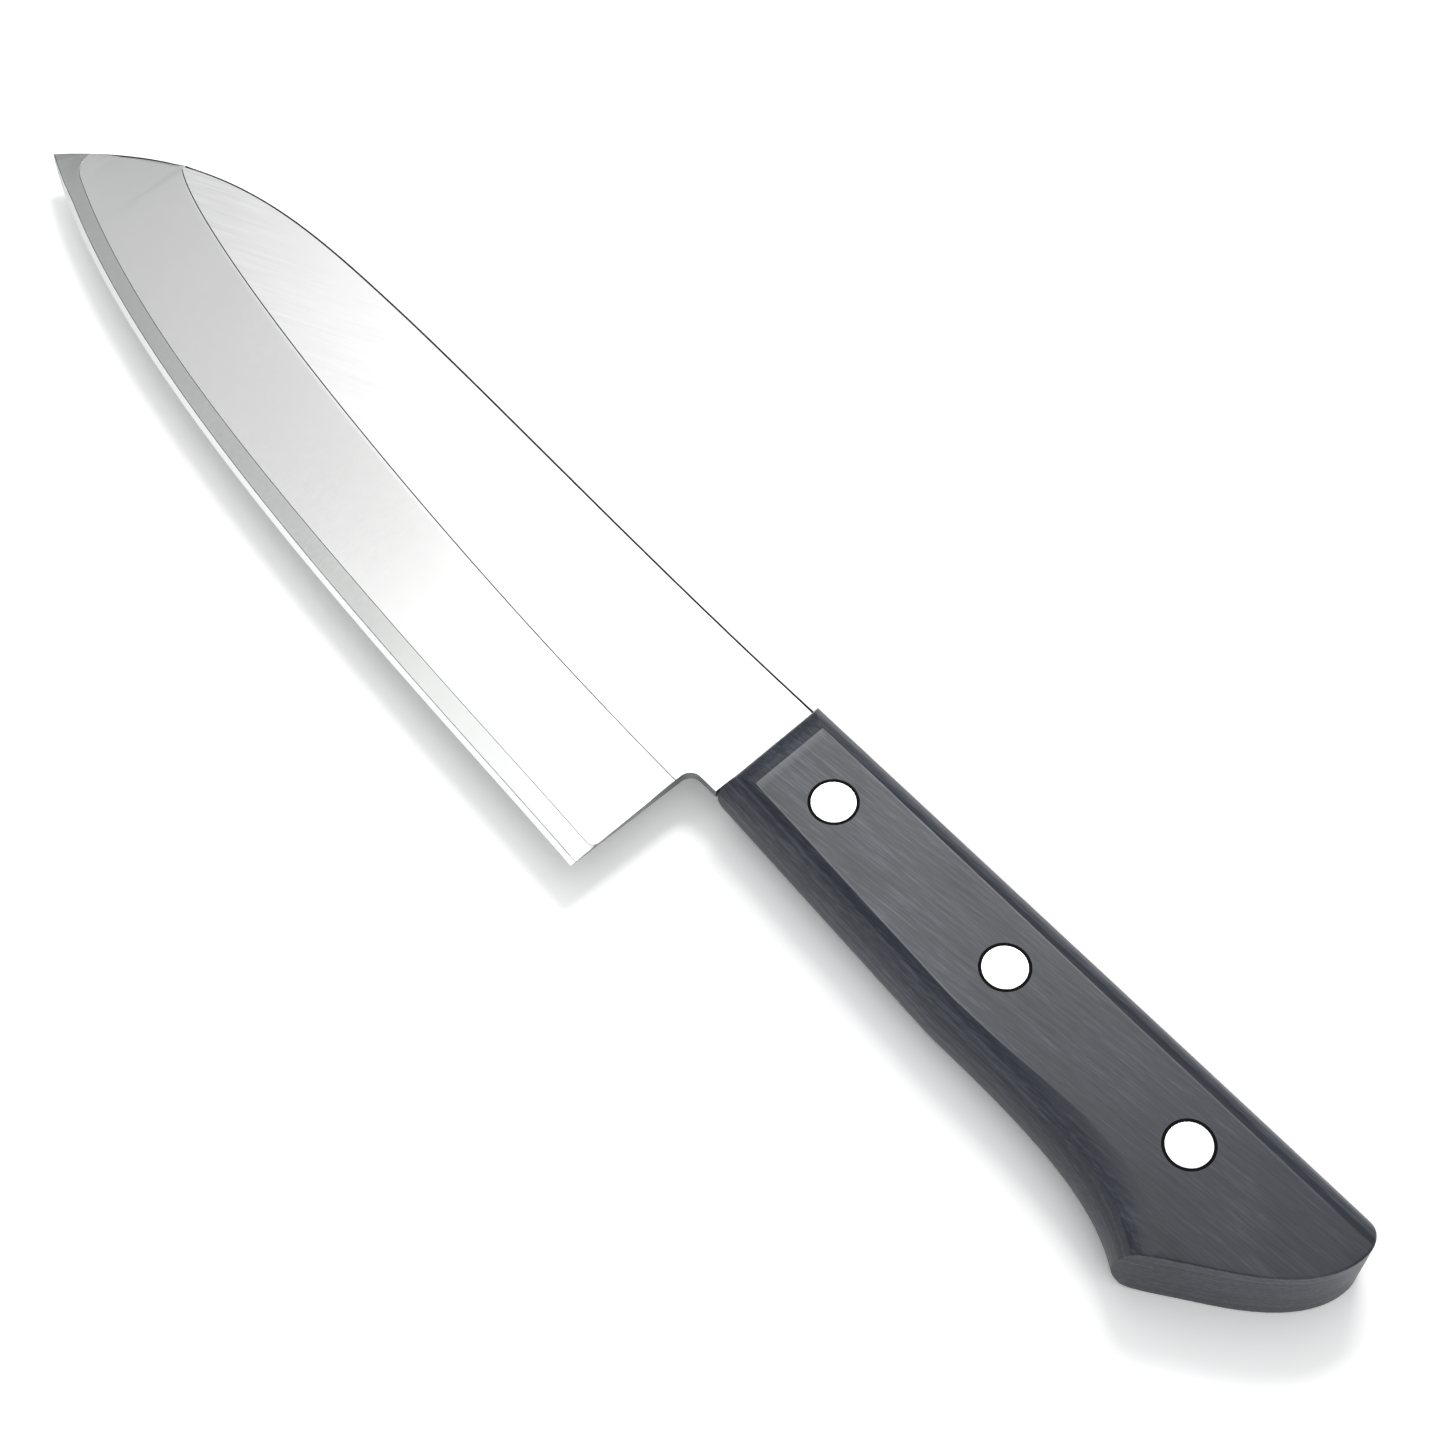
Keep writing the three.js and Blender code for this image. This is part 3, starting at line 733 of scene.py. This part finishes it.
def core_solid():
    """The whole core: the bare band and edge as rows across the blade, and the covered plate behind them."""
    stations = [(layer, edge, CORE / 2) for layer, edge in zip(layer_points, edge_points)]
    for n, (back, edge) in enumerate(zip(point_back, point_low)):
        stations.append((back, edge, CORE / 2 * (1 - POINT_THINS * (n + 1) / len(point_back))))
    points, faces, finish = [], [], []
    rows = []
    for upper, edge, lift in stations:
        grown = min(1.0, (edge[0] - TIP.x) / HONE_FADE + 0.12)
        across = core_columns(upper, edge, lift, grown)
        left = [len(points) + k for k in range(len(across))]
        points += [(x, y, MID + z) for x, y, z in across]
        rim = len(points)
        points.append((edge[0], edge[1], MID))
        right = [len(points) + k for k in range(len(across))]
        points += [(x, y, MID - z) for x, y, z in across]
        rows.append((left, rim, right))
    for (la, ea, ra), (lb, eb, rb) in zip(rows, rows[1:]):
        for k in range(len(la) - 1):
            faces.append((la[k], lb[k], lb[k + 1], la[k + 1]))
            faces.append((ra[k], ra[k + 1], rb[k + 1], rb[k]))
            # The groove's upper face and the lip above the hone are coloured with painted shade.
            finish += [CORE_LINE if k in (0, 5) else BAND] * 2
        faces.append((la[-1], lb[-1], eb, ea))
        faces.append((ra[-1], ea, eb, rb[-1]))
        finish += [HONED] * 2
    # The covered plate follows the same outline as the outer layers.
    outline = upper_points[1:-1][::-1]
    outline += [(x, y) for x, y in back_line if 0 > x > upper_points[1][0] + 0.01][::-1][:-1]
    outline += [BACK_AT_HANDLE] + neck[::-1][1:]
    loops = []
    for side in (1, -1):
        start = len(points)
        points += [(x, y, MID + side * CORE / 2) for x, y in outline]
        loops.append(list(range(start, len(points))))
    last_layer = len(layer_points) - 1
    layer_left = [row[0][0] for row in rows[:last_layer + 1]]
    layer_right = [row[2][0] for row in rows[:last_layer + 1]]
    faces.append(tuple(loops[0] + layer_left))
    faces.append(tuple(loops[1] + layer_right))
    finish += [BAND] * 2
    wall_left, wall_right = loops
    for n in range(len(wall_left) - 1):
        faces.append((wall_left[n], wall_left[n + 1], wall_right[n + 1], wall_right[n]))
        finish.append(CORE_RIM)
    # The heel's end face, the point's back wall, coloured with painted shade, and the short step onto the
    # outline.
    first = rows[0]
    faces.append(tuple([wall_left[-1]] + first[0] + [first[1]] + first[2][::-1] + [wall_right[-1]]))
    finish.append(CORE_RIM)
    faces.append((wall_left[0], layer_left[-1], layer_right[-1], wall_right[0]))
    finish.append(CORE_RIM)
    for n in range(last_layer, len(rows) - 1):
        faces.append((rows[n][0][0], rows[n + 1][0][0], rows[n + 1][2][0], rows[n][2][0]))
        finish.append(CORE_LINE)
    end = rows[-1]
    faces.append(tuple(end[0] + [end[1]] + end[2][::-1]))
    finish.append(CORE_RIM)
    return mesh_from("hard_core", points, faces, finish)


core = core_solid()
drill(core, [(BARREL_R + RIVET_CLEAR, MID - STOCK, MID + STOCK)])
smooth_piece(core, 30)
place(core, "blade_core", [core_band, honed_edge, unground_rim, painted_shade_line])

# %% [markdown]
# ## The handle's walls
# The handle is a thick board with two flat cheeks. Its back, belly and front are swollen, so they fill the
# hand, and where a wall meets a cheek the edge is eased. A wall is written as a list of heights above the
# middle, with how far in from the drawn line the surface lies at each height. All three walls use the same
# heights, so they meet in clean mitres at the front corners.

# %% Wall sections
BACK_BULGE = 1.8
BELLY_BULGE = 2.4
FRONT_BULGE = 2.0
EASE_DROP = 1.0
WALL_STEPS = 9
EASE_LEVELS = (0.05, 0.14, 0.3, 0.5, 0.66, 0.74, 0.84, 0.93, 0.985, 1.0)
LEVELS = [(MID - EASE_DROP) * math.sin(math.pi / 2 * k / WALL_STEPS) for k in range(WALL_STEPS + 1)]
LEVELS += [MID - EASE_DROP + EASE_DROP * e for e in EASE_LEVELS]
LEVELS = np.array(LEVELS)


def wall_insets(bulge, knots):
    """How far in the wall lies at each level. knots are (share of the ease's height, inset) pairs."""
    half = MID - EASE_DROP
    radius = (half * half + bulge * bulge) / (2 * bulge)
    swell = radius - np.sqrt(radius * radius - np.minimum(LEVELS, half) ** 2)
    share = (LEVELS - half) / EASE_DROP
    eased = np.interp(share, [k[0] for k in knots], [k[1] for k in knots])
    return np.where(LEVELS <= half + 1e-9, swell, eased)


def back_insets(x):
    """The back rolls over to a broad eased strip, which turns from one slope at the front into two at the butt.
    Each pair is a height below the cheek and how far in the wall lies there."""
    along = float(np.clip(x / HANDLE_LENGTH, 0, 1))
    at_front = [(3.1, 0.80), (2.0, 1.45), (1.2, 2.15), (0.6, 2.95), (0.06, 3.9), (0, 4.0)]
    at_butt = [(3.1, 0.80), (2.0, 1.32), (1.2, 1.95), (0.65, 2.75), (0.4, 3.35), (0, 4.85)]
    knots = [((1 - along) * a[0] + along * b[0], (1 - along) * a[1] + along * b[1])
             for a, b in zip(at_front, at_butt)]
    swell = wall_insets(BACK_BULGE, [(0, BACK_BULGE), (1, 4)])
    heights = [MID - k[0] for k in knots]
    eased = np.interp(LEVELS, heights, [k[1] for k in knots])
    return np.where(LEVELS < heights[0], swell * knots[0][1] / np.interp(heights[0], LEVELS, swell), eased)


def belly_insets(x):
    """The belly's easing is narrow along the grip and opens out into the hooked butt."""
    opened = float(smooth_step(x, 58, 97))
    wide = 1.35 + 3.3 * opened
    crisp = ((0, 0), (0.45, 0.39), (0.75, 0.67), (0.92, 0.86), (1, 1))
    soft = ((0, 0), (0.45, 0.20), (0.75, 0.44), (0.92, 0.70), (1, 1))
    knots = [(a[0], a[1] + (b[1] - a[1]) * opened) for a, b in zip(crisp, soft)]
    return wall_insets(BELLY_BULGE, [(rise, BELLY_BULGE + wide * run) for rise, run in knots])


def front_insets():
    """The front is eased in two slopes, which show as a double strip."""
    return wall_insets(FRONT_BULGE, [(0, FRONT_BULGE), (0.74, 4.0), (1, 5.4)])


print(len(LEVELS), "levels, back eased by", np.round(back_insets(0)[-1], 2), "mm at the front and",
      np.round(back_insets(HANDLE_LENGTH)[-1], 2), "at the butt")

# %% [markdown]
# ## The handle's plan
# The belly runs straight under the grip and then dives into a hook that keeps the hand on the knife. The
# butt is cut at a slant and rounded into the back. Stations across the handle start straight at the front
# and lean over until the last one lies on the cut.

# %% Belly and butt lines
WAIST = (52.4, -25.5)
BEAK = (HANDLE_LENGTH - 24.7, -32.0)
BEAK_PULL = (8.6, -5.6)
BEAK_PAST = 4
BUTT_CORNER = 6.2
BUTT_CUT = (HANDLE_LENGTH - 12.2, -23.1)
BUTT_BEND = -14.5
FRONT_LEAN = math.tan(math.radians(0.9))
belly_line = np.vstack([
    [(-5, -FRONT_DEPTH), (0, -FRONT_DEPTH)],
    cubic(WAIST, (WAIST[0] + 24, WAIST[1] + 0.4),
          (BEAK[0] - BEAK_PULL[0], BEAK[1] - BEAK_PULL[1]), BEAK, 100),
    [(BEAK[0] + BEAK_PULL[0] * BEAK_PAST, BEAK[1] + BEAK_PULL[1] * BEAK_PAST)],
])


def butt_points():
    """The cut at the butt as (Y, X) pairs, from below the beak up to the back line."""
    slope = (BUTT_CUT[0] - BEAK[0]) / (BUTT_CUT[1] - BEAK[1])
    straight = [(y, BEAK[0] + slope * (y - BEAK[1])) for y in np.linspace(-45, BUTT_CUT[1], 30)]
    t = np.linspace(0, 1, 40)[1:]
    bend_y = (1 - t) ** 2 * BUTT_CUT[1] + 2 * t * (1 - t) * BUTT_BEND - t * t * BUTT_CORNER
    bend_x = (1 - t) ** 2 * BUTT_CUT[0] + 2 * t * (1 - t) * HANDLE_LENGTH + t * t * HANDLE_LENGTH
    turn = np.linspace(0, math.pi / 2, 40)[1:]
    round_y = -BUTT_CORNER + BUTT_CORNER * np.sin(turn)
    round_x = HANDLE_LENGTH - BUTT_CORNER + BUTT_CORNER * np.cos(turn)
    return np.array(straight + list(zip(bend_y, bend_x)) + list(zip(round_y, round_x)))


butt_line = butt_points()


def butt_x(y):
    """X of the cut at a given Y."""
    return np.interp(y, butt_line[:, 0], butt_line[:, 1])


# %% [markdown]
# ## The handle's surface
# The upper half is a net of points: one row per station, one column per level of the back wall, a few
# columns over the flat cheek, and one per level of the belly wall. The lower half mirrors it. Where two
# walls meet at the front, the faces are split along the mitre. At the butt the last rows roll over a soft
# edge, and the cut is closed by rows from the upper half to the lower one.

# %% Handle net
CHEEK_SHARES = [0.02, 0.06, 0.11] + [0.17 + 0.66 * k / 12 for k in range(13)] + [0.89, 0.94, 0.98]
LEAN_FROM = 74.0
LEAN_RUN = 6
GRIP_STATIONS = 44
LEAN_STATIONS = 14
BUTT_EDGE = 0.4
BUTT_EDGE_FULL = 5.0
CUT_STEPS = 8
BACK_SIDE = -8
# Where the painted edge highlight fades out, on the back's side and on the belly's side.
BACK_HIGHLIGHT_FADE = (108, 116)
BELLY_HIGHLIGHT_FADE = (56, 84)


def belly_spot(start, inset, lean):
    """Where a leaning station crosses the belly wall at a given inset."""
    low, high = start, HANDLE_LENGTH + 4
    for _ in range(40):
        x = (low + high) / 2
        y = float(height_at(belly_line, x)) + inset
        if x < start + (float(butt_x(y)) - start) * lean:
            low = x
        else:
            high = x
    return x, float(height_at(belly_line, x)) + inset


def handle_rows():
    """Rows of (x, y, height above the middle) over the upper half, from the front end to the butt."""
    top = len(LEVELS) - 1
    fronts = front_insets()
    straight = np.concatenate([fronts, np.linspace(fronts[-1], LEAN_FROM, GRIP_STATIONS)[1:]])
    plan = [(x, 0.0) for x in straight]
    plan += [(LEAN_FROM + LEAN_RUN * s, s) for s in np.linspace(0, 1, LEAN_STATIONS + 1)[1:]]
    rows = []
    for i, (start, lean) in enumerate(plan):
        limit = LEVELS[i] if i < top else MID
        row = []
        tilt = FRONT_LEAN * (1 - smooth_step(start, 5, 30))
        for level, inset in zip(LEVELS, back_insets(start)):
            y = -inset
            x = start + (float(butt_x(y)) - start) * lean - y * tilt
            row.append((x, y, min(level, limit)))
        belly = []
        for k in range(top, -1, -1):
            x = start
            # The inset depends on X and X on the inset, so both are found in a few rounds.
            for _ in range(3):
                inset = belly_insets(x)[k]
                x, y = belly_spot(start, inset, lean)
            belly.append((x - y * tilt, y, min(LEVELS[k], limit)))
        high_y, low_y = row[-1][1], belly[0][1]
        for share in CHEEK_SHARES:
            y = high_y + (low_y - high_y) * share
            x = start + (float(butt_x(y)) - start) * lean - y * tilt
            row.append((x, y, min(MID, limit)))
        rows.append(row + belly)
    return rows


def roll_over(rows):
    """Extra rows that round the edge between the upper half and the cut."""
    rim = np.array(rows[-1])
    inward = np.array(rows[-2])[:, :2] - rim[:, :2]
    inward /= np.linalg.norm(inward, axis=1)[:, None] + 1e-12
    # Near both ends of the row the walls fall away, so the roll narrows to nothing there.
    size = BUTT_EDGE * np.clip(rim[:, 2] / BUTT_EDGE_FULL, 0, 1)
    out = []
    for angle in np.radians([0, 20, 42, 65, 90]):
        inset = size * (1 - math.sin(angle))
        drop = size * (1 - math.cos(angle))
        plan = rim[:, :2] + inward * inset[:, None]
        out.append(np.column_stack([plan, rim[:, 2] - drop]))
    return rows[:-1] + [[tuple(p) for p in ring] for ring in out]


def mark_highlighted_edges(solid):
    """The painted highlight's value is 1 on the edges of both cheeks. It fades out at the butt and into the
    hook.
    """
    edge_highlight = solid.data.attributes.new("edge_highlight", "FLOAT", "POINT")
    low, high = BENCH.z + 1e-7, BENCH.z + THICK * MM - 1e-7
    on_cheek = [v.co.z >= high or v.co.z <= low for v in solid.data.vertices]
    highlighted = set()
    for polygon in solid.data.polygons:
        inside = [on_cheek[v] for v in polygon.vertices]
        if any(inside) and not all(inside):
            highlighted.update(v for v, at in zip(polygon.vertices, inside) if at)
    for v in highlighted:
        x = (solid.data.vertices[v].co.x - BENCH.x) / MM
        y = (solid.data.vertices[v].co.y - BENCH.y) / MM
        fade = smooth_step(x, *(BACK_HIGHLIGHT_FADE if y > BACK_SIDE else BELLY_HIGHLIGHT_FADE))
        edge_highlight.data[v].value = 1.0 - float(fade)
    print("rubbed edge points", len(highlighted))


def handle_solid():
    """The closed handle, before the slot and the rivet seats are cut."""
    rows = roll_over(handle_rows())
    width = len(rows[0])
    top = len(LEVELS) - 1
    points, faces = [], []
    for side in (1, -1):
        points += [(x, y, MID + side * h) for row in rows for x, y, h in row]
    half = len(rows) * width
    for start in (0, half):
        for i in range(len(rows) - 1):
            for j in range(width - 1):
                a = start + i * width + j
                b, c, d = a + width, a + width + 1, a + 1
                if i == j and i < top:
                    faces += [(a, b, c), (a, c, d)]
                elif i == width - 2 - j and i < top:
                    faces += [(a, b, d), (b, c, d)]
                else:
                    faces.append((a, b, c, d))
    # The cut at the butt, in rows from the upper rim to the lower one.
    last = (len(rows) - 1) * width
    rim = points[last:last + width]
    ladder = [range(last, last + width)]
    for n in range(1, CUT_STEPS):
        share = 1 - 2 * n / CUT_STEPS
        ladder.append(range(len(points), len(points) + width))
        points += [(x, y, MID + (z - MID) * share) for x, y, z in rim]
    ladder.append(range(half + last, half + last + width))
    for upper, lower in zip(ladder, ladder[1:]):
        for j in range(width - 1):
            faces.append((upper[j], lower[j], lower[j + 1], upper[j + 1]))
    solid = mesh_from("riveted_handle", points, faces)
    mark_highlighted_edges(solid)
    return solid


handle = handle_solid()
print("handle net", len(handle.data.vertices), "points")

# %% [markdown]
# ## Slot and rivet seats
# The tang's slot is sawn from the back and the front end, and each rivet gets a through hole with a
# flat-bottomed seat in both cheeks. They are cut out of the closed handle, as they are cut on the real one.
# The cut isn't perfect. On the cheek that the knife lies on, it drops one narrow face from the wall of the
# middle rivet's seat and leaves a hairline open at the rear one, which is seven open edges in all.

# %% Cut the slot and the seats
HEAD_THICK = 1.4
HEAD_CLEAR = 0.48
CUTTER_PAST = 5


def slot_cutter():
    """A plate as thick as the stock, which reaches out of the handle at its back and its front end."""
    end = TANG_END + FIT
    outline = [(-CUTTER_PAST, CUTTER_PAST), (-CUTTER_PAST, TANG_FRONT - FIT), (end, TANG_REAR - FIT),
               (end, CUTTER_PAST)]
    points = [(x, y, MID + side * STOCK / 2) for side in (-1, 1) for x, y in outline]
    faces = [(0, 1, 2, 3), (4, 5, 6, 7)] + [(k, (k + 1) % 4, (k + 1) % 4 + 4, k + 4) for k in range(4)]
    return mesh_from("slot_cutter", points, faces)


cut_away(handle, slot_cutter())
drill(handle, [
    (BARREL_R + RIVET_CLEAR, -1, THICK + 1),
    (HEAD_R + HEAD_CLEAR, -1, HEAD_THICK),
    (HEAD_R + HEAD_CLEAR, THICK - HEAD_THICK, THICK + 1),
])
smooth_piece(handle, 20)
place(handle, "handle", [handle_wood])

# %% [markdown]
# ## Rivets
# A cutlery rivet is two parts: a socket with a hollow barrel, and a stem that is driven into it. Their
# heads are sanded flush with the cheeks, so each is a bright flat disc with only a hair of rounding at its
# rim. A thin ring of dark resin fills the seat round each head.

# %% Turn the rivets
SHANK_R = 1.6
SHANK_CLEAR = 0.1
SHANK_SHORT = 3.4
HEAD_ROUND = 0.1
RING_BELOW = 0.02
RING_CLEAR = 0.005


def rounded_disc_rim(height, toward):
    """The profile over the rim of a head, from its face down its side. toward is 1 for a head that faces up."""
    turn = np.radians([0, 30, 60, 90])
    return [(HEAD_R - HEAD_ROUND + HEAD_ROUND * math.sin(a),
             height - toward * HEAD_ROUND * (1 - math.cos(a))) for a in turn]


def rivet_pair(spot):
    """The socket from the left cheek and the stem from the right one."""
    foot = HEAD_THICK + FIT
    floor = THICK - SHANK_SHORT + FIT
    socket = [(SHANK_R + SHANK_CLEAR, floor), (SHANK_R + SHANK_CLEAR, foot), (BARREL_R, foot),
              (BARREL_R, THICK - HEAD_THICK), (HEAD_R, THICK - HEAD_THICK)]
    socket += rounded_disc_rim(THICK, 1)[::-1]
    stem = rounded_disc_rim(0, -1)
    stem += [(HEAD_R, HEAD_THICK), (SHANK_R, HEAD_THICK), (SHANK_R, THICK - SHANK_SHORT)]
    for part, profile in (("socket", socket), ("stem", stem)):
        piece = turned_solid(f"{spot}_{part}", profile, spot, ROUND_STEPS)
        smooth_piece(piece, 40)
        place(piece, f"{spot}_rivet_{part}", [rivet_face])


for spot in RIVETS:
    rivet_pair(spot)


# %% Resin rings round the heads
def seat_resin():
    """Nearly black matt resin."""
    material, nodes, links, shader = new_material("seat_resin")
    specks = stretched_noise(nodes, links, (3000, 3000, 3000), 0, detail=2, seed=3.3)
    links.new(tinted(nodes, links, specks, [(0.3, (0.0015, 0.0015, 0.002)), (0.7, (0.004, 0.004, 0.005))]),
              shader.inputs["Base Color"])
    links.new(ranged(nodes, links, specks, 0.55, 0.7), shader.inputs["Roughness"])
    shader.inputs["Specular IOR Level"].default_value = 0.08
    return material


def resin_ring(spot, name, low, high):
    """A washer-shaped fill between a head and its seat."""
    inner = HEAD_R + RING_CLEAR
    outer = HEAD_R + HEAD_CLEAR - RING_CLEAR
    section = [(inner, low), (outer, low), (outer, high), (inner, high)]
    points = circles(spot, section, ROUND_STEPS)
    faces = []
    for side in range(4):
        faces += band(side * ROUND_STEPS, (side + 1) % 4 * ROUND_STEPS, ROUND_STEPS)
    ring = mesh_from(name, points, faces)
    smooth_piece(ring, 30)
    ring.data.materials.append(resin)
    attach(ring, "root")


resin = seat_resin()
for spot in RIVETS:
    resin_ring(spot, f"{spot}_left_resin", THICK - HEAD_THICK + RING_BELOW, THICK - RING_BELOW)
    resin_ring(spot, f"{spot}_right_resin", RING_BELOW, HEAD_THICK - RING_BELOW)
print("resin rings", 2 * len(RIVETS))

# %% [markdown]
# ## Table and light
# The knife lies on a plain white table under four flat lamps. A wide dim one and a small bright one hang
# beyond the blade's back, and the satin flat mirrors them. A small card nearer the knife lights the bevel,
# and one beyond the butt lights the cut. To the camera alone the table's paint is lifted to white, so its
# soft shadows stay and its light on the knife doesn't change. Far from the knife, where the lamps don't
# reach, it also glows. The room is brighter overhead than at its walls, so that eased edges show as thin
# darker lines.

# %% Floor, room and lamps
FLOOR_SIZE = 30.0
TABLE_GAP = 0.00002
GLOW_FROM = 0.35
GLOW_TO = 1.6
TABLE_GLOW = 0.02
TABLE_FAR_GLOW = 0.45
TABLE_SEEN = 1.35


def table_paint():
    """White paint that looks lifted to the camera, and glows far from the knife."""
    material, nodes, links, shader = new_material("table_white")
    speck = stretched_noise(nodes, links, (60, 60, 60), 0, detail=2, seed=8.8)
    paint = tinted(nodes, links, speck, [(0.2, (0.92, 0.92, 0.92)), (0.8, (0.94, 0.94, 0.94))])
    shader.inputs["Roughness"].default_value = 0.7
    shader.inputs["Specular IOR Level"].default_value = 0.1
    ray = nodes.new("ShaderNodeLightPath").outputs
    white = nodes.new("ShaderNodeVectorMath")
    white.operation = "SCALE"
    links.new(paint, white.inputs[0])
    links.new(ranged(nodes, links, ray["Is Camera Ray"], 1.0, TABLE_SEEN, 0.0, 1.0), white.inputs["Scale"])
    links.new(white.outputs["Vector"], shader.inputs["Base Color"])
    seen = combined(nodes, links, "MAXIMUM", ray["Is Camera Ray"], ray["Is Glossy Ray"])
    seen = combined(nodes, links, "MAXIMUM", seen, ray["Is Transmission Ray"])
    place_on_table = nodes.new("ShaderNodeTexCoord")
    far = nodes.new("ShaderNodeVectorMath")
    far.operation = "LENGTH"
    links.new(place_on_table.outputs["Object"], far.inputs[0])
    level = ranged(nodes, links, far.outputs["Value"], TABLE_GLOW, TABLE_FAR_GLOW, GLOW_FROM, GLOW_TO)
    shader.inputs["Emission Color"].default_value = (1, 1, 1, 1)
    links.new(combined(nodes, links, "MULTIPLY", seen, level), shader.inputs["Emission Strength"])
    return material


def white_table():
    """A square table whose top is just under the knife."""
    half = FLOOR_SIZE / 2
    corners = [(-half, -half, 0), (half, -half, 0), (half, half, 0), (-half, half, 0)]
    data = bpy.data.meshes.new("table")
    data.from_pydata(corners, [], [(0, 1, 2, 3)])
    table = bpy.data.objects.new("table", data)
    bpy.context.scene.collection.objects.link(table)
    table.location.z = CAD_LOW.z - TABLE_GAP
    data.materials.append(table_paint())


def room():
    """Plain white to the camera. The knife and the table see grey walls that brighten overhead."""
    world = bpy.data.worlds.new("room")
    bpy.context.scene.world = world
    world.use_nodes = True
    nodes, links = world.node_tree.nodes, world.node_tree.links
    nodes.clear()
    out = nodes.new("ShaderNodeOutputWorld")
    seen = nodes.new("ShaderNodeBackground")
    seen.inputs["Color"].default_value = (1, 1, 1, 1)
    seen.inputs["Strength"].default_value = 1.0
    light = nodes.new("ShaderNodeBackground")
    way = nodes.new("ShaderNodeTexCoord")
    split = nodes.new("ShaderNodeSeparateXYZ")
    links.new(way.outputs["Generated"], split.inputs["Vector"])
    walls = tinted(nodes, links, split.outputs["Z"], [
        (0.0, (0.66, 0.665, 0.67)),
        (0.12, (0.46, 0.465, 0.475)),
        (0.50, (0.40, 0.405, 0.415)),
        (0.69, (0.56, 0.565, 0.57)),
        (0.90, (0.98, 0.98, 0.98)),
    ])
    links.new(walls, light.inputs["Color"])
    light.inputs["Strength"].default_value = 1.0
    path = nodes.new("ShaderNodeLightPath")
    choose = nodes.new("ShaderNodeMixShader")
    links.new(path.outputs["Is Camera Ray"], choose.inputs["Fac"])
    links.new(light.outputs["Background"], choose.inputs[1])
    links.new(seen.outputs["Background"], choose.inputs[2])
    links.new(choose.outputs["Shader"], out.inputs["Surface"])


def soft_lamp(name, centre, length, width, turn, level):
    """A flat lamp. level is how bright its face is, where 1 is white. It faces down and is turned by turn
    degrees, or, when turn is None, it faces the knife."""
    lamp = bpy.data.lights.new(name, "AREA")
    lamp.shape = "RECTANGLE"
    lamp.size = length
    lamp.size_y = width
    lamp.energy = level * math.pi * length * width
    spot = bpy.data.objects.new(name, lamp)
    bpy.context.scene.collection.objects.link(spot)
    spot.location = centre
    if turn is None:
        spot.rotation_euler = Vector(centre).to_track_quat("Z", "Y").to_euler()
    else:
        spot.rotation_euler = (0, 0, math.radians(turn))


white_table()
room()
LAMP_HEIGHT = 0.78
LAMP_TURN = -17
soft_lamp("wide_softbox", (-0.43, 0.405, LAMP_HEIGHT), 0.60, 0.36, LAMP_TURN, 0.5)
soft_lamp("bright_softbox", (-0.22, 0.44, LAMP_HEIGHT), 0.20, 0.30, LAMP_TURN, 15.0)
soft_lamp("edge_card", (-0.32, 0.10, LAMP_HEIGHT), 0.24, 0.18, LAMP_TURN, 1.2)
soft_lamp("butt_card", (0.80, -0.20, 0.40), 0.50, 0.40, None, 1.2)

# %% [markdown]
# ## Camera
# The camera looks down steeply from beyond the belly's side of the handle, with a long lens and close
# enough that the handle looks larger than the blade's far end. It is set up from the point that it aims at,
# its distance, the way it stands round the knife, and a slight roll.

# %% Camera
AIM = Vector((0.0255, 0.0076, CAD_HIGH.z))
CAMERA_DISTANCE = 0.4330
CAMERA_ROUND = math.radians(-40.85)
CAMERA_RISE = math.radians(59.76)
CAMERA_ROLL = math.radians(-1.39)
CAMERA_LENS = 67.53
SENSOR_WIDTH = 36

away = Vector((math.cos(CAMERA_ROUND) * math.cos(CAMERA_RISE),
               math.sin(CAMERA_ROUND) * math.cos(CAMERA_RISE),
               math.sin(CAMERA_RISE)))
level_right = Vector((-math.sin(CAMERA_ROUND), math.cos(CAMERA_ROUND), 0))
level_up = away.cross(level_right)
right = level_right * math.cos(CAMERA_ROLL) + level_up * math.sin(CAMERA_ROLL)
up = away.cross(right)
camera = bpy.data.objects.new("camera", bpy.data.cameras.new("camera"))
bpy.context.scene.collection.objects.link(camera)
camera.matrix_world = Matrix((
    (right.x, up.x, away.x, 0),
    (right.y, up.y, away.y, 0),
    (right.z, up.z, away.z, 0),
    (0, 0, 0, 1),
))
camera.location = AIM + away * CAMERA_DISTANCE
camera.data.lens = CAMERA_LENS
camera.data.sensor_width = SENSOR_WIDTH
camera.data.clip_start = 0.01
bpy.context.scene.camera = camera
bpy.context.scene.view_settings.view_transform = "Standard"
print("camera at", [round(1000 * v, 1) for v in camera.location])
